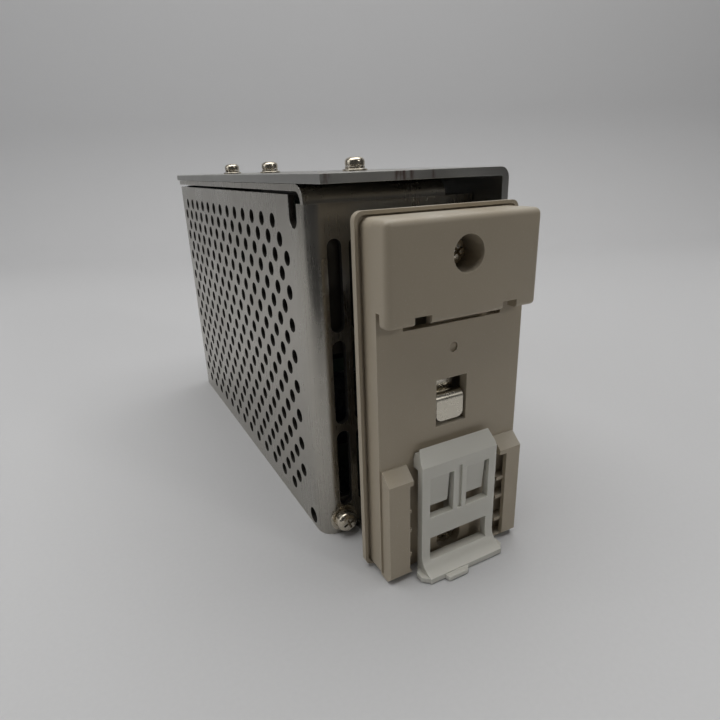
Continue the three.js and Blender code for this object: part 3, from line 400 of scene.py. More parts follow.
def wound_wire():
    made = Material("Enamelled copper wire", Metallic=0.7)
    wave = {"Vector": made.place(), "Scale": 220.0, "Distortion": 0.4}
    turns = made.node("ShaderNodeTexWave", wave, bands_direction="Z").outputs["Fac"]
    tone = made.mix(fit_range(made, turns, 0.1, 0.9), (86, 40, 18), (196, 116, 62))
    made.feed("Base Color", tone)
    made.smudged(0.34, 0.004, 0.2)
    made.bump(turns, 0.0002, 0.8)
    return made


def green_lens():
    made = Material("Green lamp lens", Subsurface_Weight=0.4, Subsurface_Scale=0.001)
    fine = noise(made, made.place(), 2400.0, 2.0)
    made.feed("Base Color", made.mix(fit_range(made, fine, 0.3, 0.7), (58, 150, 76), (84, 184, 98)))
    made.smudged(0.16, 0.002, 0.1)
    return made


def punched_wall_shade():
    """The dull torn wall that a punch leaves inside a hole, darkened further as painted shade."""
    made = Material("Punched wall, painted shade", Metallic=0.6)
    torn = noise(made, made.place(), 3600.0, 3.0)
    # Dark wall colour: dull sheared metal, darkened further as painted shade inside the holes.
    made.feed("Base Color", made.mix(torn, (40, 38, 35), (66, 63, 58)))
    made.smudged(0.62, 0.003, 0.2)
    made.bump(torn, 0.00004, 0.6)
    return made


SLOT_MATERIAL = {
    "chassis_aluminium": sheet_metal("Rolled aluminium", (168, 167, 163), (218, 218, 214), 0.36,
                                     sheared=True),
    "cover_steel": sheet_metal("Cover sheet", (172, 168, 160), (226, 224, 218), 0.29, 2600.0, 0.32,
                               run=UPRIGHT_GRAIN),
    "nickel_fastener": nickel_plate(),
    # A strong dust amount: up-facing beige is lightened as painted top light as well as dust.
    "beige_plastic": moulded("Beige ABS", (173, 161, 141), (198, 188, 168), 0.46, dust_and_top_light=0.9),
    "milky_plastic": milky_nylon(),
    "dark_plastic": moulded("Black glass-filled nylon", (34, 35, 37), (70, 70, 70), 0.5),
    "clear_plastic": clear_lid(),
    "board_laminate": moulded("Solder-masked laminate", (18, 46, 26), (70, 88, 54), 0.36,
                              0.3, 0.2, 0.15),
    "ferrite_core": moulded("Ferrite", (52, 50, 48), (96, 92, 88), 0.66, 1.0, 0.3),
    "copper_winding": wound_wire(),
    "capacitor_sleeve": moulded("Capacitor sleeve", (30, 34, 44), (70, 74, 84), 0.3, 0.2, 0.1),
    "insulation": moulded("Insulating film", (84, 90, 96), (130, 134, 138), 0.5, 0.2, 0.15),
    "trimmer_blue": moulded("Blue trimmer body", (40, 84, 150), (90, 130, 180), 0.42),
    "lamp_green": green_lens(),
}
PUNCHED_WALL_SHADE = punched_wall_shade()
SPRING_STRIP = spring_strip()
HEAT_METAL = sheet_metal("Darkened heat plate", (88, 86, 82), (150, 148, 142), 0.42)


# ---- mesh helpers: millimetres in the row frame ----
def arc(centre, radius, start, end, steps):
    """Points on an arc, angles in degrees."""
    points = []
    for step in range(steps + 1):
        angle = math.radians(start + (end - start) * step / steps)
        points.append((centre[0] + radius * math.cos(angle), centre[1] + radius * math.sin(angle)))
    return points


def round_rect(x0, x1, y0, y1, radius, steps=8):
    points = []
    left, right, low, high = x0 + radius, x1 - radius, y0 + radius, y1 - radius
    for turn, corner in enumerate(((right, low), (right, high), (left, high), (left, low))):
        points += arc(corner, radius, 90 * turn - 90, 90 * turn, steps)
    return points


def rectangle(x0, x1, y0, y1):
    return [(x0, y0), (x1, y0), (x1, y1), (x0, y1)]


def object_from(name, form):
    bmesh.ops.recalc_face_normals(form, faces=form.faces)
    mesh = bpy.data.meshes.new(name)
    form.to_mesh(mesh)
    form.free()
    made = bpy.data.objects.new(name, mesh)
    bpy.context.scene.collection.objects.link(made)
    return made


def skin(form, rings):
    """Faces between each ring of points and the next."""
    sides = []
    for first, second in zip(rings, rings[1:]):
        for i in range(len(first)):
            j = (i + 1) % len(first)
            sides.append(form.faces.new((first[i], first[j], second[j], second[i])))
    return sides


def prism(outline, axis, start, end):
    """A closed prism along an axis; the outline's two coordinates are the other two axes in order."""
    place = {
        "x": lambda a, b, c: (c, a, b),
        "y": lambda a, b, c: (a, c, b),
        "z": lambda a, b, c: (a, b, c),
    }[axis]
    form = bmesh.new()
    ends = []
    for c in (start, end):
        ends.append([form.verts.new(Vector(place(a, b, c)) * MM) for a, b in outline])
    form.faces.new(ends[0])
    form.faces.new(ends[1])
    skin(form, ends)
    bmesh.ops.remove_doubles(form, verts=form.verts, dist=1e-8)
    return object_from("part", form)


def box(x0, x1, y0, y1, z0, z1):
    return prism(rectangle(x0, x1, y0, y1), "z", z0, z1)


def rod(axis, centre, radius, start, end, steps=40):
    return prism(arc(centre, radius, 0, 360 - 360 / steps, steps - 1), axis, start, end)


def combine(base, others, operation):
    """Joins, cuts or intersects base with the others, which are used up."""
    for other in others:
        step = base.modifiers.new("step", "BOOLEAN")
        step.operation = operation
        step.solver = "EXACT"
        step.object = other
        apply_modifiers(base)
        drop(other)
    return base


def apply_modifiers(thing):
    graph = bpy.context.evaluated_depsgraph_get()
    made = bpy.data.meshes.new_from_object(thing.evaluated_get(graph))
    old = thing.data
    thing.modifiers.clear()
    thing.data = made
    bpy.data.meshes.remove(old)


def drop(thing):
    mesh = thing.data
    bpy.data.objects.remove(thing)
    bpy.data.meshes.remove(mesh)


def join(base, *others):
    return combine(base, others, "UNION")


def cut(base, *others):
    return combine(base, others, "DIFFERENCE")


def soften(thing, width, angle=30.0, segments=3):
    """Rounds the edges sharper than an angle; width in millimetres."""
    edges = thing.modifiers.new("Edge rounding", "BEVEL")
    edges.width = width * MM
    edges.segments = segments
    edges.limit_method = "ANGLE"
    edges.angle_limit = math.radians(angle)
    edges.use_clamp_overlap = True
    return thing


def finish_piece(thing, name, body, slot, smooth=35.0):
    """Gives the piece its name and finish, and its body in place of the CAD node of that name."""
    thing.name = name
    thing.data.name = name
    if not thing.data.materials:
        thing.data.materials.append(SLOT_MATERIAL[slot].data)
    shade(thing, smooth)
    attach(thing, body)
    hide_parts(name)
    return thing


def shade(thing, angle):
    thing.data.shade_smooth()
    thing.data.set_sharp_from_angle(angle=math.radians(angle))


# ---- dimensions shared by the pieces ----
HALF_WIDTH, HEIGHT, FRONT_Y = 25.0, 95.0, 84.3
SEAT_Y = -74.9
RIM_Y = SEAT_Y + 4.9
CHASSIS_REAR_Y = SEAT_Y + 10.6
WALL_Y = SEAT_Y + 21.2
GAP = 0.15
CHASSIS_SHEET, CHASSIS_BEND, FLOOR_LEFT = 2.0, 2.6, -14.4
SHEET, BEND, COVER_LEFT, COVER_RIGHT = 1.6, 4.3, -24.55, 22.8
COVER_TOP_Z = 92.9
COVER_BEND_Z = COVER_TOP_Z - BEND
SIDE_TOP_Z = 90.5
FLANGE_RIGHT, RETURN_X = 14.15, -17.2
CLEARANCE, CLOSE_BORE, FREE_BORE, SHANK = 1.8, 1.6, 1.7, 1.5
TOP_SCREWS = ((0.7, -31.0), (-6.0, 18.5), (-9.0, 54.5))
COVER_SCREW = (-18.6, 4.8)
BRACKET_X, BASE_HALF, RIM_HALF = 1.3, 20.25, 21.9
HOOK_SCREW_Z, FOOT_SCREW_Z = 78.4, 5.0


# ---- cover: one folded sheet with its holes, made flat and then bent ----
REAR_RUN = COVER_RIGHT - (COVER_LEFT + BEND)
BEND_RUN = BEND * math.pi / 2
SIDE_START = REAR_RUN + BEND_RUN
SIDE_RUN = FRONT_Y - WALL_Y - 2 * BEND
FRONT_START = SIDE_START + SIDE_RUN
FLAT_LENGTH = FRONT_START + BEND_RUN + RETURN_X - (COVER_LEFT + BEND)
EDGE_BREAK = 0.08


def folded(u, z, depth):
    """Where a point of the flat sheet lands, depth millimetres under its outer face."""
    corner, reach = COVER_LEFT + BEND, BEND - depth
    if u <= REAR_RUN:
        return (COVER_RIGHT - u, WALL_Y + depth, z)
    if u < SIDE_START:
        turn = (u - REAR_RUN) / BEND
        return (corner - reach * math.sin(turn), WALL_Y + BEND - reach * math.cos(turn), z)
    if u <= FRONT_START:
        return (COVER_LEFT + depth, WALL_Y + BEND + u - SIDE_START, z)
    if u < FRONT_START + BEND_RUN:
        turn = (u - FRONT_START) / BEND
        return (corner - reach * math.cos(turn), FRONT_Y - BEND + reach * math.sin(turn), z)
    return (corner + u - FRONT_START - BEND_RUN, FRONT_Y - depth, z)


def side_u(y):
    return SIDE_START + y - (WALL_Y + BEND)


def obround(u, z0, z1, radius, steps=10):
    upper = arc((u, z1 - radius), radius, 0, 180, steps)
    return upper + arc((u, z0 + radius), radius, 180, 360, steps)


def circle(u, z, radius, steps=24):
    return arc((u, z), radius, 0, 360 - 360 / steps, steps - 1)


HOLE_ROWS, HOLE_COLUMNS, HOLE_STEP, HOLE_RADIUS = 19, 28, 4.3, 1.85
FIRST_HOLE_Y, TOP_HOLE_Z = WALL_Y + 12.5, 83.9
SLOT_ROWS, SLOT_COLUMNS, SLOT_STEP_X, SLOT_STEP_Z = 3, 7, 5.65, 24.8
FIRST_SLOT_X, LOW_SLOT_Z, SLOT_LENGTH, SLOT_RADIUS = -17.5, 8.5, 22.5, 1.8
TOOL_HOLE_Y, TOOL_HOLE_Z, TOOL_HOLE_RADIUS = WALL_Y + 7.2, 3.1, 2.2


def sheet_openings():
    """Each opening as its shape, its place in the flat sheet and its radius."""
    openings = []
    for row in range(HOLE_ROWS):
        first = 2 if row in (0, HOLE_ROWS - 1) else row % 2
        for column in range(first, HOLE_COLUMNS, 2):
            u = side_u(FIRST_HOLE_Y + column * HOLE_STEP)
            openings.append((circle, (u, TOP_HOLE_Z - row * HOLE_STEP), HOLE_RADIUS))
    for column in range(SLOT_COLUMNS):
        u = COVER_RIGHT - (FIRST_SLOT_X + column * SLOT_STEP_X)
        for row in range(SLOT_ROWS):
            low = LOW_SLOT_Z + row * SLOT_STEP_Z
            openings.append((obround, (u, low, low + SLOT_LENGTH), SLOT_RADIUS))
    openings.append((circle, (COVER_RIGHT - COVER_SCREW[0], COVER_SCREW[1]), FREE_BORE))
    openings.append((circle, (side_u(TOOL_HOLE_Y), TOOL_HOLE_Z), TOOL_HOLE_RADIUS))
    return openings


def opening_loop(opening, wider):
    """An opening's contour, drawn wider than it is by a distance."""
    kind, place, radius = opening
    if kind is obround:
        u, low, high = place
        return obround(u, low - wider, high + wider, radius + wider)
    return circle(*place, radius + wider)


NOTCH_RADIUS, NOTCH_ARC_Z = 2.3, 85.2
OVER_FLOOR_Z = 2.2
FOLD_STEPS = 10


def sheet_outline():
    """The sheet's outer contour, and for each of its sides whether it is a free edge."""
    ear = COVER_RIGHT - (FLOOR_LEFT - 0.2)
    flange_start = COVER_RIGHT - FLANGE_RIGHT
    folds = [REAR_RUN + BEND_RUN * i / FOLD_STEPS for i in range(FOLD_STEPS + 1)]
    front_folds = [FRONT_START + BEND_RUN * i / FOLD_STEPS for i in range(FOLD_STEPS + 1)]
    points = [(0, OVER_FLOOR_Z), (ear, OVER_FLOOR_Z), (ear, 0)]
    points += [(u, 0) for u in folds] + [(u, 0) for u in front_folds] + [(FLAT_LENGTH, 0)]
    points += [(FLAT_LENGTH, SIDE_TOP_Z)] + [(u, SIDE_TOP_Z) for u in reversed(front_folds)]
    points += [(SIDE_START + 2 * NOTCH_RADIUS, SIDE_TOP_Z)]
    points += arc((SIDE_START + NOTCH_RADIUS, NOTCH_ARC_Z), NOTCH_RADIUS, 0, -180, 12)
    held_from = len(points)
    points += [(u, COVER_BEND_Z) for u in reversed(folds)] + [(flange_start, COVER_BEND_Z)]
    held_to = len(points) - 1
    points += [(0, COVER_BEND_Z)]
    free = [not held_from <= i < held_to for i in range(len(points))]
    return points, free


def inset(points, free, distance):
    """The contour moved inwards by distance along its free sides; the contour runs anticlockwise."""
    count = len(points)
    sides = []
    for i in range(count):
        a, b = Vector(points[i]), Vector(points[(i + 1) % count])
        along = (b - a).normalized()
        inward = Vector((-along.y, along.x))
        sides.append((along, inward * (distance if free[i] else 0.0)))
    moved = []
    for i in range(count):
        before, after = sides[i - 1], sides[i]
        here = Vector(points[i])
        turn = before[0].x * after[0].y - before[0].y * after[0].x
        if abs(turn) < 1e-6:
            moved.append(here + (after[1] if after[1].length > before[1].length else before[1]))
            continue
        gap = after[1] - before[1]
        reach = (gap.x * after[0].y - gap.y * after[0].x) / turn
        moved.append(here + before[1] + before[0] * reach)
    return [(p.x, p.y) for p in moved]


def fold_lines(contour, face_loop):
    """Pairs of contour points that a fold's lines join from the lower edge to the upper one."""
    pairs = []
    for i in range(len(face_loop)):
        for j in range(i + 2, len(face_loop)):
            upright = abs(face_loop[i][0] - face_loop[j][0]) < 1e-6
            across = abs(contour[i][1] - contour[j][1]) > HEIGHT / 2
            if upright and across and REAR_RUN - 0.01 < face_loop[i][0] < FLAT_LENGTH - 0.2:
                pairs.append((i, j))
    return pairs


def folded_sheet(form):
    """Fills the flat sheet between its contour and its openings, then folds both of its faces."""
    contour, free = sheet_outline()
    openings = sheet_openings()
    face_loops = [inset(contour, free, EDGE_BREAK)]
    face_loops += [opening_loop(opening, EDGE_BREAK) for opening in openings]
    wall_loops = [contour] + [opening_loop(opening, 0.0) for opening in openings]
    points, edges, starts = [], [], []
    for loop in face_loops:
        start = len(points)
        starts.append(start)
        points += [Vector(p) for p in loop]
        edges += [(start + i, start + (i + 1) % len(loop)) for i in range(len(loop))]
    edges += fold_lines(contour, face_loops[0])
    flat, _, faces, origins = delaunay_2d_cdt(points, edges, [], 0, 1e-7)[:4]
    index = {original: place for place, origin in enumerate(origins) for original in origin}
    kept = [face for face in faces if sheet_holds(face, flat, face_loops[0], openings)]
    outer_verts = [form.verts.new(Vector(folded(p.x, p.y, 0)) * MM) for p in flat]
    inner_verts = [form.verts.new(Vector(folded(p.x, p.y, SHEET)) * MM) for p in flat]
    for face in kept:
        form.faces.new([outer_verts[i] for i in face])
        form.faces.new([inner_verts[i] for i in reversed(face)])
    for loop, wall, start in zip(face_loops, wall_loops, starts):
        # The walls of the openings take the punched-wall material, which is darkened as painted
        # shade.
        shaded_wall_slot = 0 if start == 0 else 1
        near = [form.verts.new(Vector(folded(u, z, EDGE_BREAK)) * MM) for u, z in wall]
        far = [form.verts.new(Vector(folded(u, z, SHEET - EDGE_BREAK)) * MM) for u, z in wall]
        rings = (
            [outer_verts[index[start + i]] for i in range(len(loop))],
            near,
            far,
            [inner_verts[index[start + i]] for i in range(len(loop))],
        )
        for side in skin(form, rings):
            side.material_index = shaded_wall_slot


def sheet_holds(face, flat, contour, openings):
    """True if the flat face is sheet, not an opening or outside the contour."""
    centre = sum((flat[i] for i in face), Vector((0, 0))) / len(face)
    for kind, place, radius in openings:
        low, high = (place[1] + radius, place[2] - radius) if kind is obround else (place[1],) * 2
        over = max(low - centre.y, centre.y - high, 0.0)
        if (centre.x - place[0]) ** 2 + over**2 < ((radius + EDGE_BREAK) * 0.999) ** 2:
            return False
    return inside(centre, contour)


def inside(point, loop):
    hit = False
    for i in range(len(loop)):
        (ax, ay), (bx, by) = loop[i - 1], loop[i]
        if (ay > point.y) != (by > point.y) and point.x < (bx - ax) * (point.y - ay) / (by - ay) + ax:
            hit = not hit
    return hit


def swept(form, rings):
    """Skins a run of closed rings of points and closes both ends."""
    made = [[form.verts.new(Vector(p) * MM) for p in ring] for ring in rings]
    skin(form, made)
    form.faces.new(made[0])
    form.faces.new(made[-1])


FLANGE_STEPS, FLANGE_SHORT = 14, 2


def flange_section(pull):
    """The flange's cross-section as widths and depths; pull draws its free end in."""
    left, right, e = COVER_LEFT, FLANGE_RIGHT, EDGE_BREAK
    return (
        (left + e, pull), (right - e, pull), (right, e), (right, SHEET - e),
        (right - e, SHEET - pull), (left + e, SHEET - pull), (left, SHEET - e), (left, e),
    )


def top_flange(form):
    """The folded-over top edge, a bend and a flat that runs to the front."""
    loops = []
    for step in range(FLANGE_STEPS + 1):
        angle = math.radians(180 - 90 * step / FLANGE_STEPS)
        loops.append([
            (x, WALL_Y + BEND + (BEND - depth) * math.cos(angle),
             COVER_BEND_Z + (BEND - depth) * math.sin(angle))
            for x, depth in flange_section(0.0)
        ])
    end_y = FRONT_Y - FLANGE_SHORT
    for y, pull in ((end_y - EDGE_BREAK, 0.0), (end_y, EDGE_BREAK)):
        loops.append([(x, y, COVER_TOP_Z - depth) for x, depth in flange_section(pull)])
    swept(form, loops)


def make_cover():
    form = bmesh.new()
    folded_sheet(form)
    sheet = object_from("cover", form)
    flange_form = bmesh.new()
    top_flange(flange_form)
    flange = object_from("flange", flange_form)
    cut(flange, *[rod("z", place, CLOSE_BORE, 90, 99) for place in TOP_SCREWS])
    whole = bmesh.new()
    whole.from_mesh(sheet.data)
    whole.from_mesh(flange.data)
    drop(flange)
    whole.to_mesh(sheet.data)
    whole.free()
    finish_piece(sheet, "cover", HOUSING, "cover_steel", smooth=20)
    # Second material for the hole walls: dull sheared metal darkened as painted shade.
    sheet.data.materials.append(PUNCHED_WALL_SHADE.data)


make_cover()


# ---- chassis: top plate, right wall and floor bent from thicker sheet ----
FLANGE_X, FLANGE_Z = (-8, 23.5), (1, 86.5)
EAR_LEFT, EAR_TOP_Z, TONGUE_LENGTH = -21, 10, 14


def make_chassis():
    bend, inner = CHASSIS_BEND, CHASSIS_BEND - CHASSIS_SHEET
    low, high = (HALF_WIDTH - bend, bend), (HALF_WIDTH - bend, HEIGHT - bend)
    profile = [(FLOOR_LEFT, 0)] + arc(low, bend, -90, 0, 10) + arc(high, bend, 0, 90, 10)
    profile += [(-HALF_WIDTH, HEIGHT), (-HALF_WIDTH, HEIGHT - CHASSIS_SHEET)]
    profile += arc(high, inner, 90, 0, 6) + arc(low, inner, 0, -90, 6) + [(FLOOR_LEFT, CHASSIS_SHEET)]
    body = prism(profile, "y", CHASSIS_REAR_Y, FRONT_Y)
    flange = box(*FLANGE_X, CHASSIS_REAR_Y, CHASSIS_REAR_Y + CHASSIS_SHEET, *FLANGE_Z)
    ear_y = WALL_Y + SHEET + GAP
    tongue = box(EAR_LEFT, FLOOR_LEFT + 1, ear_y, ear_y + TONGUE_LENGTH, 0, CHASSIS_SHEET)
    ear = box(EAR_LEFT, COVER_SCREW[0] + 4, ear_y, ear_y + CHASSIS_SHEET, 0.2, EAR_TOP_Z)
    join(body, flange, tongue, ear)
    cutters = [rod("z", place, FREE_BORE, 90, 99) for place in TOP_SCREWS]
    cutters += [rod("y", (BRACKET_X, z), CLOSE_BORE, CHASSIS_REAR_Y - 1, CHASSIS_REAR_Y + 3)
                for z in (HOOK_SCREW_Z, FOOT_SCREW_Z)]
    cutters += [rod("y", COVER_SCREW, CLOSE_BORE, ear_y - 1, ear_y + 3)]
    cut(body, *cutters)
    soften(body, 0.22, 35, 2)
    finish_piece(body, "chassis", HOUSING, "chassis_aluminium", smooth=40)


make_chassis()


PLATE_X, PLATE_LOW_Z, PLATE_FRONT_Y = (-20, 13.5), 52, -12
PLATE_SHEET, PLATE_BEND = 2, 3


def make_heat_plate():
    """An angle of sheet that stands inside the rear wall and runs forward under the top."""
    top = COVER_TOP_Z - SHEET - GAP
    rear = WALL_Y + SHEET + GAP
    centre = (rear + PLATE_BEND, top - PLATE_BEND)
    profile = [(rear, PLATE_LOW_Z)] + arc(centre, PLATE_BEND, 180, 90, 10)
    profile += [(PLATE_FRONT_Y, top), (PLATE_FRONT_Y, top - PLATE_SHEET)]
    profile += arc(centre, PLATE_BEND - PLATE_SHEET, 90, 180, 6) + [(rear + PLATE_SHEET, PLATE_LOW_Z)]
    plate = cut(prism(profile, "x", *PLATE_X), rod("z", TOP_SCREWS[0], FREE_BORE, 80, 99))
    soften(plate, 0.18, 35, 2)
    plate.data.materials.append(HEAT_METAL.data)
    finish_piece(plate, "rear_heat_plate", HOUSING, "chassis_aluminium")


make_heat_plate()


# ---- screws and washers ----
def lathe(profile, steps, name):
    form = bmesh.new()
    rings = []
    for radius, height in profile:
        if radius == 0:
            rings.append([form.verts.new((0, 0, height * MM))] * steps)
            continue
        rings.append([
            form.verts.new((
                radius * MM * math.cos(math.tau * i / steps),
                radius * MM * math.sin(math.tau * i / steps),
                height * MM,
            ))
            for i in range(steps)
        ])
    for first, second in zip(rings, rings[1:]):
        for i in range(steps):
            j = (i + 1) % steps
            corners = dict.fromkeys((first[i], first[j], second[j], second[i]))
            form.faces.new(list(corners))
    return object_from(name, form)


def recess_cutter(reach, half, floor, top, turn):
    """One slot of a cross recess, whose two ends slope down to a flat centre."""
    spin = Matrix.Rotation(math.radians(turn), 3, "Z")
    section = ((-reach, top), (-reach, floor + 0.9), (-reach * 0.45, floor), (reach * 0.45, floor),
               (reach, floor + 0.9), (reach, top))
    form = bmesh.new()
    swept(form, [[tuple(spin @ Vector((a, side * half, b))) for a, b in section] for side in (-1, 1)])
    return object_from("recess", form)


def pan_screw(radius, height, shank, length, pitch=0.5):
    """A pan-head screw that stands on z = 0 with its thread below."""
    profile = [(0, -length), (shank * 0.6, -length), (shank * 0.86, -length + 0.4)]
    turns = int((length - 1.2) / pitch)
    for i in range(turns):
        z = -length + 0.5 + i * pitch
        profile += [(shank * 0.86, z), (shank, z + pitch * 0.5)]
    profile += [(shank * 0.9, -0.5), (shank * 0.9, 0), (radius - 0.15, 0), (radius, 0.15)]
    hub, shoulder = radius * 0.42, height * 0.45
    for across, up in arc((0, 0), 1.0, 0, 90, 8):
        profile.append((hub + across * (radius - hub), shoulder + up * (height - shoulder)))
    profile.append((0, height))
    screw = lathe(profile, 36, "screw")
    reach, half, floor = radius * 0.56, radius * 0.115, height * 0.35
    cut(screw, *[recess_cutter(reach, half, floor, height + 1, turn) for turn in (0, 90)])
    return screw


def flat_washer(outer, inner, height):
    e = 0.08
    profile = [(inner, e), (inner + e, 0), (outer - e, 0), (outer, e), (outer, height - e),
               (outer - e, height), (inner + e, height), (inner, height - e), (inner, e)]
    return lathe(profile, 48, "washer")


def spring_washer(outer, inner, height):
    """A split ring whose ends stand a little apart."""
    form = bmesh.new()
    rings = []
    steps, opening, rise, e = 44, 18, 0.14, 0.1
    for i in range(steps + 1):
        share = i / steps
        angle = math.radians(opening / 2 + (360 - opening) * share)
        lift = rise * share
        tall = height - rise
        section = ((inner, lift), (outer - e, lift), (outer, lift + e), (outer, lift + tall - e),
                   (outer - e, lift + tall), (inner, lift + tall))
        rings.append([(r * math.cos(angle), r * math.sin(angle), z) for r, z in section])
    swept(form, rings)
    return object_from("spring", form)


STACK = 1.34


def fasten(thing, name, facing, place, turn):
    """Turns a fastener from standing on +Z to its own direction and puts it in its place."""
    tilt = Matrix.Rotation(math.radians(90 if facing == "-y" else 0), 3, "X")
    whole = (tilt @ Matrix.Rotation(math.radians(turn), 3, "Z")).to_4x4()
    thing.data.transform(Matrix.Translation(Vector(place) * MM) @ whole)
    finish_piece(thing, name, HOUSING, "nickel_fastener")


def fastener_stack(name, facing, seat, radii, length, turns):
    """A flat washer, a split washer and a pan screw, one on the other, just clear of the seat."""
    outward = (0, 0, 1) if facing == "+z" else (0, -1, 0)
    flat, split, head = radii
    for kind, thing, lift, turn in (
        ("flat_washer", flat_washer(flat, FREE_BORE, 0.5), 0.02, 0),
        ("spring_washer", spring_washer(split, FREE_BORE, 0.8), 0.54, turns[0]),
        ("screw", pan_screw(head, 2.2, SHANK, length), STACK + 0.02, turns[1]),
    ):
        place = [a + b * lift for a, b in zip(seat, outward)]
        fasten(thing, name.format(kind), facing, place, turn)


def make_fasteners():
    for label, (x, y) in enumerate(TOP_SCREWS, 1):
        length = 10 if label == 1 else 8
        turns = (70 * label, 25 + 40 * label)
        fastener_stack(f"top_{{}}_{label}", "+z", (x, y, HEIGHT), (3.4, 2.7, 2.7), length, turns)
    x, z = COVER_SCREW
    fastener_stack("cover_{}", "-y", (x, WALL_Y, z), (3.9, 3.0, 2.9), 6, (200, 20))
    for name, z, depth, tall, turn in (
        ("hook_screw", HOOK_SCREW_Z, 2.525, 2.9, 35), ("foot_screw", FOOT_SCREW_Z, 2.725, 2.1, 10)
    ):
        length = CHASSIS_REAR_Y + CHASSIS_SHEET - SEAT_Y - depth
        screw = pan_screw(2.9, tall, SHANK, length)
        fasten(screw, name, "-y", (BRACKET_X, SEAT_Y + depth, z), turn)


make_fasteners()


# ---- rail bracket ----
HOOK_STAND, HOOK_Z = 4.4, (64.8, 86.5)
UNDERCUT_DEPTH, UNDERCUT_TOP_Z = 1.5, 67.8
FOOT_STAND, FOOT_TOP_Z, FOOT_FACE_TOP_Z = 3.4, 30.2, 27.5
RIB_GAPS = ((1.6, 5.9), (6.8, 12.9), (13.8, 18.4), (19.3, 26.3))
BASE_Z, BASE_CORNER = (0.6, 86.5), 2
WINDOW_HALF, WINDOW_Z = 16.5, (11, 71)
LATCH_SLOT_HALF, LATCH_SLOT_Z = 1.8, (11.2, 28.6)
CONTACT_SLOT_X, CONTACT_SLOT_Z = (-3.3, 5.5), (37.6, 49.4)
STEP_X, STEP_Z = (-12.4, 14.7), (62.7, 67.8)
LEFT_NOTCH_X, LEFT_HOLLOW_X, RIGHT_NOTCH_X, RIGHT_HOLLOW_X = (
    (-12.2, -7.9), (-12.2, -4.6), (11.3, 15.4), (11.3, 13.6))
LIP_NOTCH_Z, HOLLOW_TOP_Z = (63.8, 66.7), 67.6


def bracket_rect(half, z0, z1, radius):
    return round_rect(BRACKET_X - half, BRACKET_X + half, z0, z1, radius)


def mirrored_box(side, inner, outer, y0, y1, z0, z1):
    """A box given by its distances from the bracket's middle line."""
    a, b = sorted((BRACKET_X + side * inner, BRACKET_X + side * outer))
    return box(a, b, y0, y1, z0, z1)


def make_hook():
    """The hook is a block with full rounding on its outer edges and an undercut for the rail."""
    face, (low, high) = SEAT_Y - HOOK_STAND, HOOK_Z
    left, right = BRACKET_X - BASE_HALF, BRACKET_X + BASE_HALF
    hook = box(left, right, face, SEAT_Y + 1, low, high)
    form = bmesh.new()
    form.from_mesh(hook.data)
    round_edges(form, 1.5, 6, lambda m: m.z > low + 0.1 and not (
        m.y > SEAT_Y + 0.9 or (left + 0.1 < m.x < right - 0.1 and m.y > face + 0.1)))
    round_edges(form, 0.9, 4, lambda m: m.z < low + 0.01 and m.y < SEAT_Y + 0.9)
    form.to_mesh(hook.data)
    form.free()
    undercut = (SEAT_Y - UNDERCUT_DEPTH, SEAT_Y + 2, low - 1, UNDERCUT_TOP_Z)
    return cut(hook, box(left - 1, right + 1, *undercut))


def round_edges(form, radius, segments, chosen):
    """Rounds the edges whose middle point, in millimetres, is chosen."""
    edges = [e for e in form.edges if chosen((e.verts[0].co + e.verts[1].co) / 2 / MM)]
    bmesh.ops.bevel(form, geom=edges, offset=radius * MM, segments=segments, profile=0.5,
                    affect="EDGES", clamp_overlap=True)


def make_foot(side):
    """A side block with an open row of ribs along its inner edge."""
    face = SEAT_Y - FOOT_STAND
    profile = [(SEAT_Y + 1, 0.4), (SEAT_Y + 1, FOOT_TOP_Z), (SEAT_Y - 0.5, FOOT_TOP_Z),
               (face, FOOT_FACE_TOP_Z), (face, 1.8), (face + 1.4, 0.4)]
    a, b = sorted((BRACKET_X + side * 13.1, BRACKET_X + side * (BASE_HALF - 0.5)))
    solid = prism(profile, "x", a, b)
    open_edge = 15.3 if side > 0 else 14.1
    cutters = [mirrored_box(side, 12.3, open_edge, face - 1, face + 0.8, -1, 26.3)]
    for low, high in RIB_GAPS:
        cutters.append(mirrored_box(side, 12.3, 17.8, face + 1.2, SEAT_Y - 0.3, low, high))
        cutters.append(mirrored_box(side, 12.3, open_edge, face - 1, SEAT_Y - 0.3, low, high))
    return cut(solid, *cutters)


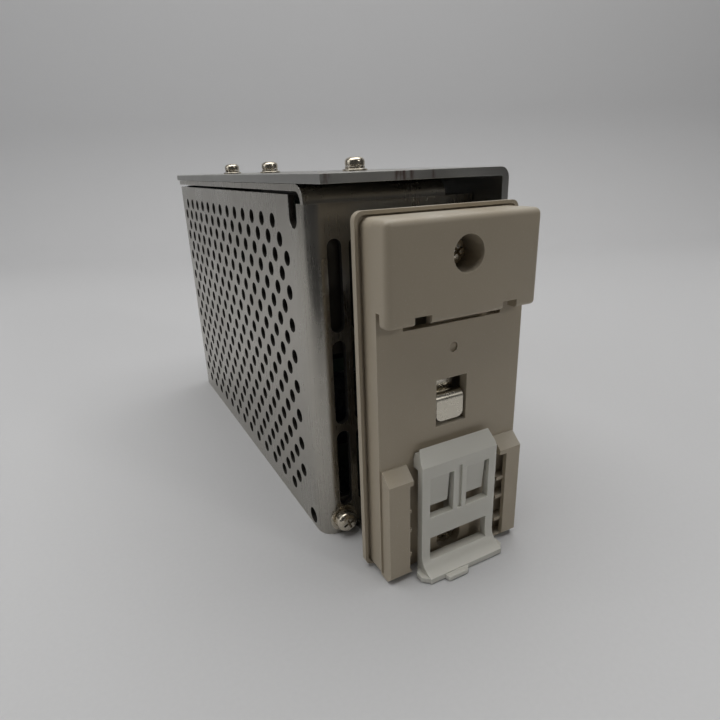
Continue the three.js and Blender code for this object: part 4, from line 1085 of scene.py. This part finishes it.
def make_bracket():
    floor = RIM_Y + 1
    base = prism(bracket_rect(BASE_HALF, *BASE_Z, BASE_CORNER), "y", SEAT_Y, floor)
    rim = prism(bracket_rect(RIM_HALF, 1, 87.7, 2), "y", RIM_Y, RIM_Y + 1.6)
    lip = prism(bracket_rect(RIM_HALF - 0.75, 1.75, 86.95, 1.6), "y", RIM_Y - 1, floor)
    keep = prism(bracket_rect(BASE_HALF, *BASE_Z, BASE_CORNER), "y", RIM_Y - 2, floor + 1)
    cut(rim, cut(lip, keep))
    back = box(BRACKET_X - 18.5, BRACKET_X + 18.5, floor, CHASSIS_REAR_Y - GAP, 2.6, 84.5)
    join(base, rim, back, make_hook(), make_foot(-1), make_foot(1))
    x = BRACKET_X
    lip = (SEAT_Y - 6, SEAT_Y - 3.4, *LIP_NOTCH_Z)
    hollow = (SEAT_Y - 0.3, SEAT_Y + 3, STEP_Z[0], HOLLOW_TOP_Z)
    cut(
        base,
        box(x - WINDOW_HALF, x + WINDOW_HALF, SEAT_Y + 2.5, CHASSIS_REAR_Y + 1, *WINDOW_Z),
        rod("y", (x, HOOK_SCREW_Z), 4.05, SEAT_Y - 6, SEAT_Y + 2.6, 48),
        rod("y", (x, FOOT_SCREW_Z), 3.7, SEAT_Y - 1, SEAT_Y + 2.8, 48),
        *[rod("y", (x, z), CLEARANCE, SEAT_Y - 1, CHASSIS_REAR_Y + 1)
          for z in (HOOK_SCREW_Z, FOOT_SCREW_Z)],
        rod("y", (x, 56.8), 1.2, SEAT_Y - 1, SEAT_Y + 0.5, 32),
        box(*CONTACT_SLOT_X, SEAT_Y - 1, SEAT_Y + 4, *CONTACT_SLOT_Z),
        box(x - LATCH_SLOT_HALF, x + LATCH_SLOT_HALF, SEAT_Y - 1, SEAT_Y + 4, *LATCH_SLOT_Z),
        box(*STEP_X, SEAT_Y - 1, SEAT_Y + 0.8, *STEP_Z),
        box(*LEFT_NOTCH_X, *lip),
        box(*LEFT_HOLLOW_X, SEAT_Y - 3.5, SEAT_Y - 0.1, LIP_NOTCH_Z[0], HOLLOW_TOP_Z),
        box(*RIGHT_NOTCH_X, SEAT_Y - 6, SEAT_Y - 0.1, *LIP_NOTCH_Z),
        box(*LEFT_HOLLOW_X, *hollow),
        box(*RIGHT_HOLLOW_X, *hollow),
    )
    soften(base, 0.32, 32, 3)
    finish_piece(base, "rail_bracket", HOUSING, "beige_plastic", smooth=40)


make_bracket()


def make_contact():
    """A bent spring strip: a short face, a full curl on top and a leaf that runs back down."""
    front, curl, sheet, crown = SEAT_Y + 0.5, 1.9, 0.5, 43.4
    middle, rear = front + curl, front + 2 * curl
    foot = CHASSIS_REAR_Y - 0.55
    profile = [(front, 38.4)] + arc((middle, crown), curl, 180, 0, 20)
    profile += [(rear, 34), (foot, 32), (foot, 24), (foot - sheet, 24), (foot - sheet, 31.6)]
    profile += [(rear - sheet, 33.6)] + arc((middle, crown), curl - sheet, 0, 180, 16)
    profile += [(front + sheet, 38.4)]
    blank = prism(profile, "x", -2.8, 5)
    trim = prism(round_rect(-2.8, 5, 38.4, 90, 1.6), "y", SEAT_Y - 1, front + sheet + 0.2)
    rest = box(-4, 6, front + sheet + 0.2, CHASSIS_REAR_Y, 20, 60)
    upper = box(-4, 6, SEAT_Y - 1, front + sheet + 0.25, 42, 60)
    join(trim, rest, upper)
    combine(blank, [trim], "INTERSECT")
    join(blank, box(-2.2, 4.4, rear + 0.4 - sheet, rear + 0.4, 35, 50.5))
    soften(blank, 0.15, 35, 3)
    blank.data.materials.append(SPRING_STRIP.data)
    finish_piece(blank, "rail_contact", HOUSING, "nickel_fastener", smooth=50)


make_contact()


# ---- latch ----
LATCH_FRONT = SEAT_Y - 4.1
LATCH_BACK = SEAT_Y - 0.25
PULL_Y = SEAT_Y - 8


def make_latch():
    x = BRACKET_X
    profile = [
        (LATCH_BACK, 29), (LATCH_BACK, 32.6), (SEAT_Y - 1.5, 32.6), (SEAT_Y - 1.5, 34),
        (LATCH_FRONT, 30.2), (LATCH_FRONT, 5.6), (LATCH_FRONT - 0.3, 4.2), (LATCH_FRONT - 1.1, 3.1),
        (LATCH_FRONT - 2.3, 2.3), (PULL_Y, 1.7), (PULL_Y, 0.3),
        (LATCH_FRONT + 2, 0.3), (LATCH_FRONT + 2, 29),
    ]
    plate = prism(profile, "x", x - 11.1, x + 11.1)
    through = (LATCH_FRONT - 1, LATCH_BACK + 1)
    cut(
        plate,
        *[mirrored_box(side, 1.9, 8.9, *through, 16, 27) for side in (-1, 1)],
        box(x - 8.7, x + 8.7, LATCH_FRONT - 3, LATCH_BACK + 1, 4.0, 10.2),
        box(x - 0.6, x + 0.6, LATCH_FRONT - 1, LATCH_FRONT + 0.6, 16, 28),
        prism([(x - 11.3, 30.5), (x - 10.2, 34.2), (x - 12, 35)], "y", LATCH_FRONT - 1, LATCH_BACK),
        prism([(x + 11.3, 30.5), (x + 12, 35), (x + 10.2, 34.2)], "y", LATCH_FRONT - 1, LATCH_BACK),
    )
    half = [(10.9, LATCH_FRONT + 2), (12.6, LATCH_FRONT), (12.6, PULL_Y + 1.8), (10.6, PULL_Y)]
    outline = [(x + a, b) for a, b in half] + [(x - a, b) for a, b in reversed(half)]
    bar = prism(outline, "z", 0.3, 1.6)
    tip = prism([(-5.8, PULL_Y + 1), (-5.2, -84.3), (0.4, -84.3), (2.4, PULL_Y + 1)], "z", 0.3, 1.4)
    tongues = []
    for side in (-1, 1):
        slope = [(LATCH_FRONT + 1.7, 28), (LATCH_FRONT + 2.7, 18.4), (LATCH_FRONT + 1.5, 18.4),
                 (LATCH_FRONT + 0.6, 28)]
        middle = x + side * 5.4
        tongues.append(prism(slope, "x", middle - 3.3, middle + 2.7))
    back = SEAT_Y + 3.9
    post = box(x - 1.4, x + 1.4, LATCH_FRONT + 1, back, 18, 28)
    head = box(x - 3, x + 3, back - 1.1, back, 18, 28)
    join(plate, bar, tip, *tongues, post, head)
    soften(plate, 0.28, 30, 3)
    finish_piece(plate, "rail_latch", LATCH, "milky_plastic", smooth=40)


make_latch()


# ---- CAD pieces that stay, with rounded edges and finer materials ----
SHOWN_AS_CAD = {
    "rectifier": ("dark_plastic", 0.2), "switching_transistor": ("dark_plastic", 0.2),
    "output_diode": ("dark_plastic", 0.2), "circuit_board": ("board_laminate", 0.1),
    "insulation_sheet": ("insulation", 0.05), "transformer_core": ("ferrite_core", 0.4),
    "transformer_winding": ("copper_winding", 0.5), "bulk_capacitor": ("capacitor_sleeve", 0.3),
    "output_capacitor_1": ("capacitor_sleeve", 0.3), "output_capacitor_2": ("capacitor_sleeve", 0.3),
    "output_choke": ("copper_winding", 0.3), "line_filter_choke": ("ferrite_core", 0.5),
    "terminal_block": ("dark_plastic", 0.25), "terminal_cover": ("clear_plastic", 0.15),
    "front_panel": ("dark_plastic", 0.25), "trimmer_body": ("trimmer_blue", 0.3),
    "trimmer_rotor": ("milky_plastic", 0.12), "lamp_lens": ("lamp_green", 0.1),
}
for number in range(1, 5):
    SHOWN_AS_CAD[f"board_standoff_{number}"] = ("nickel_fastener", 0.1)
    SHOWN_AS_CAD[f"board_screw_{number}"] = ("nickel_fastener", 0.08)
for number in range(1, 8):
    SHOWN_AS_CAD[f"terminal_clamp_{number}"] = ("nickel_fastener", 0.12)
    SHOWN_AS_CAD[f"terminal_screw_{number}"] = ("nickel_fastener", 0.1)


def dress_cad_nodes():
    for name, (slot, width) in SHOWN_AS_CAD.items():
        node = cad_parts[name]
        if not node.data.materials:
            node.data.materials.append(SLOT_MATERIAL[slot].data)
        for place in node.material_slots:
            place.link = "OBJECT"
            place.material = SLOT_MATERIAL[slot].data
        soften(node, width, 35, 2)


dress_cad_nodes()


# ---- stage: pale sweep and soft lights ----
SWEEP_ORIGIN = (-0.0711, -0.1665, 0)
SWEEP_START, SWEEP_RUN, SWEEP_BEND, SWEEP_HEIGHT, SWEEP_HALF = -0.06, 0.62, 0.16, 1.6, 1.6


def make_stage():
    """A paper sweep in metres: a floor under the camera's view that curves up behind the part."""
    form = bmesh.new()
    ahead, across = level_heading()
    profile = [(SWEEP_START, 0.0), (SWEEP_RUN, 0.0)]
    profile += arc((SWEEP_RUN, SWEEP_BEND), SWEEP_BEND, -90, 0, 12)[1:]
    profile.append((SWEEP_RUN + SWEEP_BEND, SWEEP_HEIGHT))
    columns = []
    for side in (-SWEEP_HALF, SWEEP_HALF):
        edge = Vector(SWEEP_ORIGIN) + across * side
        columns.append([form.verts.new(edge + ahead * a + Vector((0, 0, b))) for a, b in profile])
    for i in range(len(profile) - 1):
        form.faces.new((columns[0][i], columns[0][i + 1], columns[1][i + 1], columns[1][i]))
    sweep = object_from("Sweep", form)
    shade(sweep, 60)
    paper = Material("Sweep paper")
    fibre = noise(paper, paper.place(), 900.0, 3.0)
    paper.feed("Base Color", paper.mix(fibre, (198, 198, 199), (203, 203, 204)))
    paper.roughness(0.75, times(paper, fibre, 0.05))
    sweep.data.materials.append(paper.data)


def area_light(name, place, aim, size, power, tint):
    data = bpy.data.lights.new(name, "AREA")
    data.shape = "RECTANGLE"
    data.size, data.size_y = size
    data.energy = power
    data.color = tint
    lamp = bpy.data.objects.new(name, data)
    lamp.location = place
    lamp.rotation_euler = (Vector(aim) - Vector(place)).to_track_quat("-Z", "Y").to_euler()
    bpy.context.scene.collection.objects.link(lamp)


def make_lights():
    for name, place, aim, size, power, tint in (
        ("Overhead softbox", (0, 0.04, 0.95), (0, 0.02, 0), (1.3, 0.8), 8.3, (1, 0.995, 0.98)),
        ("Left softbox", (-0.95, 0.25, 0.50), (0, 0, 0.04), (0.7, 0.7), 1.7, (0.97, 0.985, 1)),
        ("Low rear lamp", (0.46, -1, 0.60), (0, -0.05, 0.06), (0.16, 0.16), 1.25, (1, 0.99, 0.97)),
    ):
        area_light(name, place, aim, size, power, tint)
    world = bpy.data.worlds.new("Studio")
    world.use_nodes = True
    bpy.context.scene.world = world
    back = world.node_tree.nodes["Background"]
    back.inputs["Color"].default_value = (0.5, 0.5, 0.51, 1)
    back.inputs["Strength"].default_value = 0.08
    bpy.context.scene.view_settings.view_transform = "Standard"


make_stage()
make_lights()
